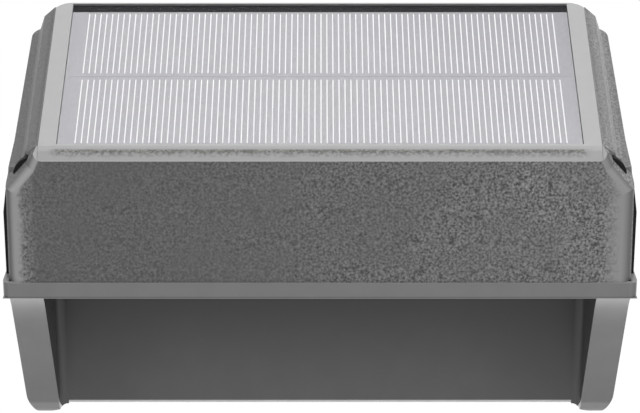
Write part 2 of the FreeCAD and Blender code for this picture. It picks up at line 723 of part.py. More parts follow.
rectangle(cell_rows, f"(-({PANEL_HALF} - fit_gap))", f"({PANEL_HALF} - fit_gap)",
          f"({PANEL_FRONT} + fit_gap)", f"({CELL_MIDDLE} - fit_gap / 2)")
rectangle(cell_rows, f"(-({PANEL_HALF} - fit_gap))", f"({PANEL_HALF} - fit_gap)",
          f"({CELL_MIDDLE} + fit_gap / 2)", CELL_REAR)
pad(cells, cell_rows, "cell_thickness", backwards=True)
finished(cells, "solar_cells")

# ---------------------------------------------------------------------------------------------
# Base housing: the lip flange, and under it the rear box with its plate and two swept cheeks.

base = new_body("base_housing")
box_side = new_sketch(base, "box_side", "YZ_Plane")
SWEEP_SIN = "sin(sweep_angle)"
SWEEP_COS = "cos(sweep_angle)"
SWEEP_REACH = "(sweep_radius * tan((90 - sweep_angle) / 2))"
SWEEP_TOP_Y = behind_lip(f"(sweep_start - {SWEEP_REACH})")
HEEL_REACH = "(heel_radius * tan((90 - sweep_angle) / 2))"
HEEL_Y = behind_lip("(sweep_start + legs_drop * tan(sweep_angle))")
outline(box_side, [(SWEEP_TOP_Y, LIP_UNDER, "-sweep_radius"),
                   (behind_lip(f"(sweep_start + {SWEEP_REACH} * {SWEEP_SIN})"),
                    f"({LIP_UNDER} - {SWEEP_REACH} * {SWEEP_COS})"),
                   (f"({HEEL_Y} - {HEEL_REACH} * {SWEEP_SIN})", f"({FOOT} + {HEEL_REACH} * {SWEEP_COS})",
                    "heel_radius"),
                   (f"({HEEL_Y} + {HEEL_REACH})", FOOT), ("0", FOOT), ("0", LIP_UNDER)])
pad(base, box_side, "overall_width", both_ways=True)

# The lip flange.
SIDE_X = "(overall_width / 2)"
lip = new_sketch(base, "lip_outline", "XY_Plane", ("0", "0", LIP_UNDER))
outline(lip, [(f"(-{SIDE_X} + lip_radius)", FRONT), (f"({SIDE_X} - lip_radius)", FRONT, "lip_radius"),
              (SIDE_X, f"({FRONT} + lip_radius)"), (SIDE_X, "0"), (f"(-{SIDE_X})", "0"),
              (f"(-{SIDE_X})", f"({FRONT} + lip_radius)", "lip_radius")])
pad(base, lip, "lip_height")

# The bay between the cheeks, in front of the plate.
bay = new_sketch(base, "bay_outline", "XY_Plane", ("0", "0", LIP_UNDER))
rectangle(bay, f"(-{INNER_HALF})", INNER_HALF, f"({FRONT} - shell_wall)", PLATE_Y)
cut(base, bay, "legs_drop + shell_wall")
dress(base, "Fillet", "bay_fillet",
      lambda middle, along, edge: upright(along) and abs(middle.y - value(PLATE_Y)) < 0.01
      and abs(abs(middle.x) - value(INNER_HALF)) < 0.01)

# Each cheek ends in a foot: rounded outside, flat at the tip, and bevelled in to the plate's lower edge.
FOOT_ROUND = "((foot_run ^ 2 + foot_rise ^ 2) / (2 * foot_run))"
TIP_OUT_X = f"({SIDE_X} - foot_run)"
TIP_IN_X = f"({TIP_OUT_X} - foot_flat)"
BEVEL_X = f"({TIP_IN_X} - foot_bevel_run)"
STEP_X = f"({BEVEL_X} - foot_inner_radius)"
UNDER_FOOT = f"({FOOT} - foot_step)"
foot_corners = new_sketch(base, "foot_corners", "XZ_Plane")
outline(foot_corners, [(SIDE_X, UNDER_FOOT), (SIDE_X, f"({FOOT} + foot_rise)", f"-{FOOT_ROUND}"),
                       (TIP_OUT_X, FOOT), (TIP_OUT_X, UNDER_FOOT)])
outline(foot_corners, [(f"(-{SIDE_X})", UNDER_FOOT), (f"(-{TIP_OUT_X})", UNDER_FOOT),
                       (f"(-{TIP_OUT_X})", FOOT, f"-{FOOT_ROUND}"),
                       (f"(-{SIDE_X})", f"({FOOT} + foot_rise)")])
outline(foot_corners, [(TIP_IN_X, UNDER_FOOT), (TIP_IN_X, FOOT),
                       (BEVEL_X, f"({FOOT} + foot_bevel_rise)", "foot_inner_radius"), (STEP_X, PLATE_FOOT),
                       (f"(-{STEP_X})", PLATE_FOOT, "foot_inner_radius"),
                       (f"(-{BEVEL_X})", f"({FOOT} + foot_bevel_rise)"), (f"(-{TIP_IN_X})", FOOT),
                       (f"(-{TIP_IN_X})", UNDER_FOOT)])
cut(base, foot_corners, both_ways=True)
plate_edge = new_sketch(base, "plate_edge", "YZ_Plane")
outline(plate_edge, [(f"({PLATE_Y} - plate_round)", f"({PLATE_FOOT} - plate_round)"),
                     (f"({PLATE_Y} + plate_round)", f"({PLATE_FOOT} - plate_round)"),
                     (f"({PLATE_Y} + plate_round)", PLATE_FOOT, "-plate_round"),
                     (PLATE_Y, f"({PLATE_FOOT} + plate_round)"),
                     (f"({PLATE_Y} - plate_round)", f"({PLATE_FOOT} + plate_round)")])
cut(base, plate_edge, f"2 * ({INNER_HALF} - bay_fillet)", both_ways=True)

# The rear box is open at the back, with four bosses for the rear plate.
rear_room = new_sketch(base, "rear_room", "XZ_Plane")
outline(rear_room, [(f"(-{BOX_HALF} + room_radius)", BOX_FOOT),
                    (f"({BOX_HALF} - room_radius)", BOX_FOOT, "room_radius"),
                    (BOX_HALF, f"({BOX_FOOT} + room_radius)"), (BOX_HALF, LIP_UNDER),
                    (f"(-{BOX_HALF})", LIP_UNDER),
                    (f"(-{BOX_HALF})", f"({BOX_FOOT} + room_radius)", "room_radius")])
cut(base, rear_room, f"(-{BOX_FRONT})", backwards=True)
rear_bosses = new_sketch(base, "rear_bosses", "XZ_Plane", ("0", "0", "back_plate_thickness"))
BACK_Z = (above_lip("(-back_boss_top)"), f"({BOX_FOOT} + back_boss_foot)")
for boss_x in ("back_boss_x", "(-back_boss_x)"):
    for boss_z in BACK_Z:
        circle(rear_bosses, boss_x, boss_z, "boss_radius")
pad(base, rear_bosses, f"(-{BOX_FRONT}) - back_plate_thickness + plate_thickness / 2")
rear_pilots = new_sketch(base, "rear_pilots", "XZ_Plane")
for boss_x in ("back_boss_x", "(-back_boss_x)"):
    for boss_z in BACK_Z:
        circle(rear_pilots, boss_x, boss_z, "screw_radius")
cut(base, rear_pilots, "back_plate_thickness + back_screw_length", backwards=True)

# Posts on the floor for the two boards.
LAMP_POST_X = ("(lamp_post_spacing / 2)", "(-lamp_post_spacing / 2)")
CONTROL_Y = "(-control_rear_inset - control_width / 2)"
CONTROL_POST_X = ("(control_x - control_length / 2 + control_post_inset)",
                  "(control_x + control_length / 2 - control_post_inset)")
CONTROL_POST_Y = (f"({CONTROL_Y} - control_width / 2 + control_post_inset)",
                  f"({CONTROL_Y} + control_width / 2 - control_post_inset)")
CONTROL_POSTS = [(CONTROL_POST_X[1], CONTROL_POST_Y[0]), (CONTROL_POST_X[0], CONTROL_POST_Y[1]),
                 (CONTROL_POST_X[1], CONTROL_POST_Y[1])]
LAMP_POSTS = [(post_x, WINDOW_Y) for post_x in LAMP_POST_X]
posts = new_sketch(base, "lamp_posts", "XY_Plane", ("0", "0", LIP_TOP))
for post_x, post_y in LAMP_POSTS:
    circle(posts, post_x, post_y, "lamp_post_radius")
pad(base, posts, "lamp_board_rise - lip_height")
tall_posts = new_sketch(base, "control_posts", "XY_Plane", ("0", "0", LIP_TOP))
for post_x, post_y in CONTROL_POSTS:
    circle(tall_posts, post_x, post_y, "control_post_radius")
pad(base, tall_posts, "control_rise - lip_height")
post_pilots = new_sketch(base, "post_pilots", "XY_Plane", ("0", "0", above_lip("lamp_board_rise")))
for post_x, post_y in LAMP_POSTS:
    circle(post_pilots, post_x, post_y, "board_screw_radius")
cut(base, post_pilots, "board_screw_length")
tall_pilots = new_sketch(base, "tall_pilots", "XY_Plane", ("0", "0", above_lip("control_rise")))
for post_x, post_y in CONTROL_POSTS:
    circle(tall_pilots, post_x, post_y, "board_screw_radius")
cut(base, tall_pilots, "board_screw_length")

# The window's opening, the button's hole, the screws' holes and the seal's groove.
window_hole = new_sketch(base, "window_hole", "XY_Plane", ("0", "0", LIP_TOP))
rectangle(window_hole, "(-window_length / 2 - window_gap)", "(window_length / 2 + window_gap)",
          f"({WINDOW_Y} - window_width / 2 - window_gap)", f"({WINDOW_Y} + window_width / 2 + window_gap)")
cut(base, window_hole, "lip_height + shell_wall")
small_holes = new_sketch(base, "small_holes", "XY_Plane", ("0", "0", LIP_TOP))
circle(small_holes, "button_x", BUTTON_Y, "(button_radius + button_play)")
for boss_x in SCREW_X:
    circle(small_holes, boss_x, SCREW_Y[0], "(screw_radius + screw_clearance)")
cut(base, small_holes, "lip_height + shell_wall")
head_ways = new_sketch(base, "head_ways", "XY_Plane", ("0", "0", f"{LIP_UNDER} + screw_head_height"))
for boss_x in SCREW_X:
    circle(head_ways, boss_x, SCREW_Y[0], "(screw_head_radius + screw_clearance)")
cut(base, head_ways, "2 * sweep_radius")
rear_holes = new_sketch(base, "rear_screw_holes", "XY_Plane", ("0", "0", LIP_TOP))
for boss_x in SCREW_X:
    circle(rear_holes, boss_x, SCREW_Y[1], "(screw_radius + screw_clearance)")
cut(base, rear_holes, "lip_height + shell_wall")
groove = new_sketch(base, "seal_groove", "XY_Plane", ("0", "0", LIP_TOP))
SEAL_OUT_X = "(overall_width / 2 - seal_inset)"
SEAL_FRONT = "(-overall_depth + seal_inset)"
SEAL_REAR = "(-seal_inset / 2)"
SEAL_IN_X = "(overall_width / 2 - seal_inset - seal_width)"
rectangle(groove, f"(-{SEAL_OUT_X})", SEAL_OUT_X, SEAL_FRONT, SEAL_REAR)
rectangle(groove, f"(-{SEAL_IN_X})", SEAL_IN_X, f"({SEAL_FRONT} + seal_width)", f"({SEAL_REAR} - seal_width)")
cut(base, groove, "seal_depth")
finished(base, "base_housing")

seal = new_body("main_seal")
seal_ring = new_sketch(seal, "seal_ring", "XY_Plane", ("0", "0", LIP_TOP))
rectangle(seal_ring, f"(-{SEAL_OUT_X} + fit_gap)", f"({SEAL_OUT_X} - fit_gap)",
          f"({SEAL_FRONT} + fit_gap)", f"({SEAL_REAR} - fit_gap)")
rectangle(seal_ring, f"(-{SEAL_IN_X} - fit_gap)", f"({SEAL_IN_X} + fit_gap)",
          f"({SEAL_FRONT} + seal_width - fit_gap)", f"({SEAL_REAR} - seal_width + fit_gap)")
pad(seal, seal_ring, "seal_depth", backwards=True)
finished(seal, "main_seal")

# ---------------------------------------------------------------------------------------------
# Back plate with two keyholes: each entry takes a screw's head, and the slot rises from it.

back = new_body("back_plate")
back_outline = new_sketch(back, "back_outline", "XZ_Plane")
BACK_HALF = f"({BOX_HALF} - back_plate_gap)"
rectangle(back_outline, f"(-{BACK_HALF})", BACK_HALF, f"({BOX_FOOT} + back_plate_gap)",
          f"({LIP_UNDER} - back_plate_gap)")
pad(back, back_outline, "back_plate_thickness")
KEYHOLES = ("(keyhole_spacing / 2)", "(-keyhole_spacing / 2)")
entries = new_sketch(back, "keyhole_entries", "XZ_Plane")
for keyhole_x in KEYHOLES:
    circle(entries, keyhole_x, "0", "keyhole_radius")
cut(back, entries, backwards=True)
slots = new_sketch(back, "keyhole_slots", "XZ_Plane")
for keyhole_x in KEYHOLES:
    rectangle(slots, f"({keyhole_x} - keyhole_slot)", f"({keyhole_x} + keyhole_slot)", "0", "keyhole_run")
cut(back, slots, backwards=True)
back_holes = new_sketch(back, "back_screw_holes", "XZ_Plane")
for boss_x in ("back_boss_x", "(-back_boss_x)"):
    for boss_z in BACK_Z:
        circle(back_holes, boss_x, boss_z, "(screw_radius + screw_clearance)")
cut(back, back_holes, backwards=True)
dress(back, "Chamfer", "screw_head_radius - screw_radius - screw_clearance",
      lambda middle, along, edge: abs(middle.y) < 0.01 and hasattr(edge.Curve, "Radius")
      and edge.Curve.Radius < value("screw_head_radius"))
dress(back, "Fillet", "room_radius",
      lambda middle, along, edge: abs(along.y) > 0.9 * along.Length
      and abs(abs(middle.x) - value(BACK_HALF)) < 0.01 and middle.z < value(FOOT) / 2)
finished(back, "back_plate")

# ---------------------------------------------------------------------------------------------
# Window: a frosted tray with a flange that sits on its seal, and the lamp board above it.

FLANGE_Z = f"({LIP_TOP} + seal_thickness)"
window = new_body("diffuser_lens")
flange = new_sketch(window, "window_flange", "XY_Plane", ("0", "0", FLANGE_Z))
rectangle(flange, "(-window_length / 2 - window_flange)", "(window_length / 2 + window_flange)",
          f"({WINDOW_Y} - window_width / 2 - window_flange)", f"({WINDOW_Y} + window_width / 2 + window_flange)")
pad(window, flange, "window_flange_thickness")
tray = new_sketch(window, "window_tray", "XY_Plane", ("0", "0", f"{LIP_UNDER} - window_stand"))
rectangle(tray, "(-window_length / 2)", "(window_length / 2)",
          f"({WINDOW_Y} - window_width / 2)", f"({WINDOW_Y} + window_width / 2)")
pad(window, tray, "window_stand + lip_height + seal_thickness + window_flange_thickness")
hollow = new_sketch(window, "window_hollow", "XY_Plane", ("0", "0", f"{FLANGE_Z} + window_flange_thickness"))
rectangle(hollow, "(-window_length / 2 + window_wall)", "(window_length / 2 - window_wall)",
          f"({WINDOW_Y} - window_width / 2 + window_wall)", f"({WINDOW_Y} + window_width / 2 - window_wall)")
cut(window, hollow, "window_stand + lip_height + seal_thickness + window_flange_thickness - window_wall")
dress(window, "Fillet", "window_wall * 0.6",
      lambda middle, along, edge: abs(middle.z - value(f"{LIP_UNDER} - window_stand")) < 0.01)
finished(window, "diffuser_lens")

lens_seal = new_body("lens_seal")
ring = new_sketch(lens_seal, "lens_ring", "XY_Plane", ("0", "0", LIP_TOP))
rectangle(ring, "(-window_length / 2 - window_flange)", "(window_length / 2 + window_flange)",
          f"({WINDOW_Y} - window_width / 2 - window_flange)", f"({WINDOW_Y} + window_width / 2 + window_flange)")
rectangle(ring, "(-window_length / 2 - window_gap)", "(window_length / 2 + window_gap)",
          f"({WINDOW_Y} - window_width / 2 - window_gap)", f"({WINDOW_Y} + window_width / 2 + window_gap)")
pad(lens_seal, ring, "seal_thickness")
finished(lens_seal, "lens_seal")

lamp_board = new_body("led_board")
board = new_sketch(lamp_board, "lamp_board_outline", "XY_Plane", ("0", "0", above_lip("lamp_board_rise")))
rectangle(board, "(-lamp_board_length / 2)", "(lamp_board_length / 2)",
          f"({WINDOW_Y} - lamp_board_width / 2)", f"({WINDOW_Y} + lamp_board_width / 2)")
for post_x, post_y in LAMP_POSTS:
    circle(board, post_x, post_y, "(board_screw_radius + screw_clearance)")
pad(lamp_board, board, "lamp_board_thickness")
finished(lamp_board, "led_board")

lamps = [block(f"lamp{number}", f"(lamp_pitch * ({number} - (lamp_count - 1) / 2))", WINDOW_Y,
               above_lip("(lamp_board_rise - lamp_tall)"), "lamp_side", "lamp_side", "lamp_tall")
         for number in range(int(value("lamp_count")))]
finished(combined("Compound", "leds", lamps), "leds")

# ---------------------------------------------------------------------------------------------
# Push button: a chamfered cap that is kept by its flange, a plunger, a return spring and the switch.

BUTTON_TOP = f"({LIP_TOP} + fit_gap + button_flange_thickness)"
CONTROL_UNDER = above_lip("control_rise")
SWITCH_UNDER = above_lip("(control_rise - switch_tall)")
cap = new_body("button_cap")
cap_profile = new_sketch(cap, "cap_profile", "XY_Plane", ("0", "0", f"{LIP_UNDER} - button_proud"))
circle(cap_profile, "button_x", BUTTON_Y, "button_radius")
pad(cap, cap_profile, "button_proud + lip_height + fit_gap + button_flange_thickness")
cap_flange = new_sketch(cap, "cap_flange", "XY_Plane", ("0", "0", f"{LIP_TOP} + fit_gap"))
circle(cap_flange, "button_x", BUTTON_Y, "(button_radius + button_flange)")
pad(cap, cap_flange, "button_flange_thickness")
dress(cap, "Chamfer", "button_proud / 2",
      lambda middle, along, edge: abs(middle.z - value(f"{LIP_UNDER} - button_proud")) < 0.01)
finished(cap, "button_cap")

plunger = primitive("Cylinder", "button_plunger",
                    {"Radius": "plunger_radius", "Height": f"{SWITCH_UNDER} + plunger_entry - {BUTTON_TOP}"},
                    ("button_x", BUTTON_Y, BUTTON_TOP))
finished(plunger, "button_plunger")

switch = new_body("switch_body")
switch_outline = new_sketch(switch, "switch_outline", "XY_Plane", ("0", "0", SWITCH_UNDER))
rectangle(switch_outline, "(button_x - switch_side / 2)", "(button_x + switch_side / 2)",
          f"({BUTTON_Y} - switch_side / 2)", f"({BUTTON_Y} + switch_side / 2)")
pad(switch, switch_outline, "switch_tall")
plunger_way = new_sketch(switch, "plunger_way", "XY_Plane", ("0", "0", SWITCH_UNDER))
circle(plunger_way, "button_x", BUTTON_Y, "(plunger_radius + button_play)")
cut(switch, plunger_way, "plunger_entry + button_travel + 2 * fit_gap", backwards=True)
finished(switch, "switch_body")

# ---------------------------------------------------------------------------------------------
# Control board with its chip, coil, capacitor and sockets.

control = new_body("control_board")
control_outline = new_sketch(control, "control_outline", "XY_Plane", ("0", "0", CONTROL_UNDER))
rectangle(control_outline, "(control_x - control_length / 2)", "(control_x + control_length / 2)",
          f"({CONTROL_Y} - control_width / 2)", f"({CONTROL_Y} + control_width / 2)")
for post_x, post_y in CONTROL_POSTS:
    circle(control_outline, post_x, post_y, "(board_screw_radius + screw_clearance)")
pad(control, control_outline, "control_thickness")
finished(control, "control_board")

CONTROL_TOP = f"({CONTROL_UNDER} + control_thickness)"
RESERVOIR_X = "(control_x + control_length / 2 - reservoir_inset)"
chip = block("chip", "(control_x - chip_offset)", f"({CONTROL_Y} - chip_width / 2)", CONTROL_TOP,
             "chip_length", "chip_width", "chip_tall")
charger = block("charger_chip", "(control_x - chip_offset)", f"({CONTROL_Y} + charger_offset)", CONTROL_TOP,
                "charger_side", "charger_side", "chip_tall")
reservoir = primitive("Cylinder", "reservoir", {"Radius": "reservoir_radius", "Height": "reservoir_tall"},
                      (RESERVOIR_X, f"({CONTROL_Y} - 2 * reservoir_radius)", CONTROL_TOP))
finished(combined("Compound", "control_chips", [chip, charger, reservoir]), "control_chips")
coil = primitive("Cylinder", "charge_coil", {"Radius": "coil_radius", "Height": "coil_tall"},
                 ("(control_x + coil_offset)", f"({CONTROL_Y} + coil_radius)", CONTROL_TOP))
finished(coil, "charge_coil")

# ---------------------------------------------------------------------------------------------
# Battery: a single cell that lies along X in a cradle, with a spring at one end and a tab at the other.

BATTERY_Y = "(-battery_rear_inset)"
BATTERY_Z = above_lip("battery_rise")
battery = primitive("Cylinder", "battery_cell", {"Radius": "battery_radius", "Height": "battery_length"},
                    ("cell_left", BATTERY_Y, BATTERY_Z), ALONG_X)
finished(battery, "battery_cell")

CRADLE_HALF = "(battery_radius + cradle_gap + cradle_wall)"
cradle = new_body("battery_cradle")
cradle_outline = new_sketch(cradle, "cradle_outline", "XY_Plane", ("0", "0", LIP_TOP))
rectangle(cradle_outline, "cradle_left", "cradle_right", f"({BATTERY_Y} - {CRADLE_HALF})",
          f"({BATTERY_Y} + {CRADLE_HALF})")
pad(cradle, cradle_outline, "battery_rise - lip_height")
trough = new_sketch(cradle, "cradle_trough", "YZ_Plane", ("0", "0", "(cradle_left + cradle_wall)"))
circle(trough, BATTERY_Y, BATTERY_Z, "(battery_radius + cradle_gap)")
cut(cradle, trough, "cradle_right - cradle_left - 2 * cradle_wall", backwards=True)
finished(cradle, "battery_cradle")

tab = block("battery_tab", "(cell_right + tab_room - contact_thickness / 2)", BATTERY_Y,
            f"({BATTERY_Z} - battery_radius / 2)", "contact_thickness", "battery_radius", "battery_radius")
finished(tab, "battery_tab")


def six_flats(radius, centre, direction):
    """The section of a sealed-in wire: a hexagon, square to a direction."""
    turn = Rotation(Vector(0, 0, 1), direction)
    corners = [Vector(radius * math.cos(math.radians(angle)), radius * math.sin(math.radians(angle)), 0)
               for angle in range(0, 361, 60)]
    return Part.makePolygon([centre + turn.multVec(corner) for corner in corners])


SPRING_TURNS = 4
RUNS_PER_TURN = 8


def coil_spring(label, radius, wire, height, place, turn):
    """A wire bent in short runs along a helix, which stays inside the given height."""
    climb = (height - 2 * wire) / (SPRING_TURNS * RUNS_PER_TURN)
    bends = []
    for number in range(SPRING_TURNS * RUNS_PER_TURN + 1):
        angle = 2 * math.pi * number / RUNS_PER_TURN
        bends.append(Vector(radius * math.cos(angle), radius * math.sin(angle), wire + climb * number))
    section = six_flats(wire, bends[0], bends[1] - bends[0])
    shape = Part.makePolygon(bends).makePipeShell([section], True, False, 1)
    item = document.addObject("Part::Feature", label)
    item.Shape = shape
    item.Placement = Placement(place, turn)
    return finished(item, label)


coil_spring("battery_spring", value("battery_radius / 2"), value("spring_wire"),
            value("spring_room - 2 * fit_gap"),
            Vector(value("cell_left - spring_room + fit_gap"), value(BATTERY_Y), value(BATTERY_Z)), ALONG_X)
coil_spring("button_spring", value("plunger_radius + 3 * button_spring_wire"), value("button_spring_wire"),
            value(f"{SWITCH_UNDER} - {BUTTON_TOP} - 2 * fit_gap"),
            Vector(value("button_x"), value(BUTTON_Y), value(f"{BUTTON_TOP} + fit_gap")), UPWARD)

# ---------------------------------------------------------------------------------------------
# Screws.

cover_screws = []
for boss_x in SCREW_X:
    for boss_y, seat in ((SCREW_Y[0], "screw_head_height"), (SCREW_Y[1], "0")):
        cover_screws.append(screw(f"cover_screw{len(cover_screws)}", (boss_x, boss_y, f"{LIP_UNDER} + {seat}"),
                                  UPWARD, "cover_screw_length", "screw_radius", "screw_head_radius",
                                  "screw_head_height"))
finished(combined("Compound", "cover_screws", cover_screws), "cover_screws")
back_screws = []
for boss_x in ("back_boss_x", "(-back_boss_x)"):
    for boss_z in BACK_Z:
        back_screws.append(screw(f"back_screw{len(back_screws)}", (boss_x, "0", boss_z), INWARD,
                                 "back_screw_length", "screw_radius", "screw_head_radius",
                                 "(screw_head_radius - screw_radius)", flat=True))
finished(combined("Compound", "back_screws", back_screws), "back_screws")
board_screws = []
for posts_here, top in ((LAMP_POSTS, above_lip("(lamp_board_rise + lamp_board_thickness)")),
                        (CONTROL_POSTS, CONTROL_TOP)):
    for post_x, post_y in posts_here:
        board_screws.append(screw(f"board_screw{len(board_screws)}", (post_x, post_y, top), DOWNWARD,
                                  "board_screw_length", "board_screw_radius", "board_screw_head",
                                  "board_screw_radius"))
finished(combined("Compound", "board_screws", board_screws), "board_screws")

# ---------------------------------------------------------------------------------------------
# Internal wires, each along straight runs that bend through arcs.


def wire(places, keep_off=None):
    """A wire through places given as triples of expressions, cut back from a neighbour."""
    corners = [Vector(*(value(text) for text in place)) for place in places]
    radius = value("wire_radius")
    bend = value("wire_bend")
    edges = []
    start = corners[0]
    for before, corner, after in zip(corners, corners[1:], corners[2:]):
        inward = (before - corner).normalize()
        outward = (after - corner).normalize()
        half_turn = (math.pi - inward.getAngle(outward)) / 2
        reach = bend * math.tan(half_turn)
        towards_centre = (inward + outward).normalize()
        nearest = corner + towards_centre * (bend / math.cos(half_turn) - bend)
        arc_start, arc_end = corner + inward * reach, corner + outward * reach
        edges.append(Part.LineSegment(start, arc_start).toShape())
        edges.append(Part.Arc(arc_start, nearest, arc_end).toShape())
        start = arc_end
    edges.append(Part.LineSegment(start, corners[-1]).toShape())
    rim = six_flats(radius, corners[0], corners[1] - corners[0])
    shape = Part.Wire(edges).makePipeShell([rim], True, False)
    return shape.cut(keep_off) if keep_off else shape


def wires(label, routes, keep_off=None):
    item = document.addObject("Part::Feature", label)
    item.Shape = Part.makeCompound([wire(route, keep_off) for route in routes])
    return finished(item, label)


WIRE_Y = f"({EDGE_Y} + wire_way_run * cos(panel_tilt) + {BEAD_DEPTH} * sin(panel_tilt))"
WIRE_TOP = under_top(WIRE_Y, f"({BEAD_DEPTH} - board_thickness / 2)")
WIRE_DROP = f"({CONTROL_TOP} + 3 * wire_bend)"
panel_routes = []
for side in ("(control_x - 2 * wire_radius)", "(control_x + 2 * wire_radius)"):
    panel_routes.append([(side, WIRE_Y, WIRE_TOP), (side, WIRE_Y, f"{WIRE_TOP} - 3 * wire_bend"),
                         (side, f"{WIRE_Y} + wire_bend", WIRE_DROP),
                         (side, f"{WIRE_Y} + wire_bend", CONTROL_TOP)])
wires("panel_wires", panel_routes, keep_off=next(n for n in nodes if n.Label == "panel_board").Shape)

LAMP_TOP = above_lip("(lamp_board_rise + lamp_board_thickness)")
LEAD_X = "(control_x - control_length / 2 + lamp_post_radius)"
LEAD_REAR = f"{WINDOW_Y} + lamp_board_width / 2"
lamp_leads = [primitive("Cylinder", f"lamp_lead{number}",
                        {"Radius": "wire_radius", "Height": f"{CONTROL_UNDER} - {LAMP_TOP}"},
                        (LEAD_X, f"{LEAD_REAR} - {4 * number + 2} * wire_radius", LAMP_TOP))
              for number in (0, 1)]
finished(combined("Compound", "led_wires", lamp_leads), "led_wires")

OVER_CELL = f"({BATTERY_Z} + battery_radius + 2 * wire_bend)"
LANDING_Y = f"({CONTROL_Y} + control_width / 2 - 3 * control_post_inset)"
battery_routes = []
for end_x, far_y in (("(cradle_left + cradle_wall / 2)", LANDING_Y),
                     ("(cradle_right - cradle_wall / 2)", f"({LANDING_Y} - 4 * wire_radius)")):
    battery_routes.append([(end_x, BATTERY_Y, BATTERY_Z), (end_x, BATTERY_Y, OVER_CELL),
                           (LEAD_X, far_y, OVER_CELL), (LEAD_X, far_y, CONTROL_TOP)])
wires("battery_wires", battery_routes)

# ---------------------------------------------------------------------------------------------
# Check every object, then write one file for each piece.

document.recompute()
for item in document.Objects:
    if "Invalid" in item.State or "Error" in item.State:
        raise RuntimeError(f"{item.Label} is {item.State}")
os.makedirs("parts", exist_ok=True)
for node in nodes:
    if node.Shape.isNull() or not node.Shape.isValid():
        raise RuntimeError(f"{node.Label} has no valid shape")
    node.Shape.exportStep(f"parts/{node.Label}.step")
    box = node.Shape.BoundBox
    print(f"{node.Label}: {len(node.Shape.Solids)} solid(s), {node.Shape.Volume:.1f} mm3, "
          f"x {box.XMin:.2f} {box.XMax:.2f}, y {box.YMin:.2f} {box.YMax:.2f}, z {box.ZMin:.2f} {box.ZMax:.2f}")
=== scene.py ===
import math
import bmesh
import bpy
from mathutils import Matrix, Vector


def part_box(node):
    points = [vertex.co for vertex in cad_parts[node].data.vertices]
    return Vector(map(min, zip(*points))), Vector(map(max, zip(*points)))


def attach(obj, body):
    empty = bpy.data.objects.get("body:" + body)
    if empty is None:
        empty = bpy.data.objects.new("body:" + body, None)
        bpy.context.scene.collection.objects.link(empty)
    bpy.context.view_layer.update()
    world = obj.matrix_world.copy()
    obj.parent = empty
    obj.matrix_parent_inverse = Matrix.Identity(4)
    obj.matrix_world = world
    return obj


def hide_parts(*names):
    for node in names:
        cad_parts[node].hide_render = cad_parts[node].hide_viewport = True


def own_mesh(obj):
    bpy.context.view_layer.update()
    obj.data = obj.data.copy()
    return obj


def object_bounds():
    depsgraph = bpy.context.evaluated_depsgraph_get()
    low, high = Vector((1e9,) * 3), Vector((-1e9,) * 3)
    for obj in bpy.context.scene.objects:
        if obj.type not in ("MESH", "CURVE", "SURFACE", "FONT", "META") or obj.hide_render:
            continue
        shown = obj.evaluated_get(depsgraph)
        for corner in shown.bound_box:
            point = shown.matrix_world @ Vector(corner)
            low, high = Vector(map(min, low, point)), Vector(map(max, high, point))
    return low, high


# A solar fence light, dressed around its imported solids. Metres; the wall is y = 0, the front
# looks along -Y and +Z is up. Each section makes one piece or one group of like pieces.

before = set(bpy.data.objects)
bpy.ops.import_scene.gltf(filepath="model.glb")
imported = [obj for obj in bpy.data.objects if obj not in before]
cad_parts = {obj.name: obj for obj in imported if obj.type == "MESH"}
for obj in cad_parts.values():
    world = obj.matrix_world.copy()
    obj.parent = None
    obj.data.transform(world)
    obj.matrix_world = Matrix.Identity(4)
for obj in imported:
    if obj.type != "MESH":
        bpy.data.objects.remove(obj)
cad_low, cad_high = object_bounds()
scene = bpy.context.scene
scene.view_settings.view_transform = "Standard"

# ---------------------------------------------------------------------------------------------
# Camera: a long lens, square on to the light, that looks down on it at 20 degrees. The focal
# length and the sensor are in millimetres.

CAMERA_PLACE = (0, -0.43892, 0.17226)
CAMERA_ELEVATION = math.radians(20)
FOCAL_LENGTH = 126.96
SENSOR_WIDTH = 36
camera_data = bpy.data.cameras.new("camera")
camera_data.lens = FOCAL_LENGTH
camera_data.sensor_width = SENSOR_WIDTH
camera = bpy.data.objects.new("camera", camera_data)
camera.location = CAMERA_PLACE
camera.rotation_euler = (math.pi / 2 - CAMERA_ELEVATION, 0, 0)
scene.collection.objects.link(camera)
scene.camera = camera

# ---------------------------------------------------------------------------------------------
# Studio: a pale floor well below the light, a large soft lamp overhead, a smaller one at each
# side, and a dim even surround that shows white behind the object and in its gloss.

FLOOR_DROP = 0.15
FLOOR_SIZE = 6.0
FLOOR_LIT_COLOUR = (0.8, 0.8, 0.8, 1)
FLOOR_SHOW = 0.93
FLOOR_GLOW = 1.05
SURROUND_LEVEL = 0.2
WHITE = (1, 1, 1, 1)


def fed(tree, node, *terms, **inputs):
    """Give a node's inputs numbers or other nodes' outputs, in order or by their titles."""
    titled = [(node.inputs[title.replace("_", " ")], term) for title, term in inputs.items()]
    for socket, term in [*zip(node.inputs, terms), *titled]:
        if isinstance(term, bpy.types.NodeSocket):
            tree.links.new(term, socket)
        else:
            socket.default_value = term
    return node


def added(tree, kind, *terms, **inputs):
    """A new node with its inputs fed."""
    return fed(tree, tree.nodes.new(kind), *terms, **inputs)


def worked(tree, operation, *terms):
    """One maths step on sockets or plain numbers."""
    node = tree.nodes.new("ShaderNodeMath")
    node.operation = operation
    return fed(tree, node, *terms).outputs[0]


def mixed(tree, share, start, end):
    """A change from start to end by a share between 0 and 1."""
    return worked(tree, "MULTIPLY_ADD", share, worked(tree, "SUBTRACT", end, start), start)


def seen_directly(tree):
    """1 where a camera, glossy or transmitted ray looks, and 0 for the light that falls on things."""
    path = tree.nodes.new("ShaderNodeLightPath").outputs
    seen = worked(tree, "MAXIMUM", path["Is Camera Ray"], path["Is Glossy Ray"])
    return worked(tree, "MAXIMUM", seen, path["Is Transmission Ray"])


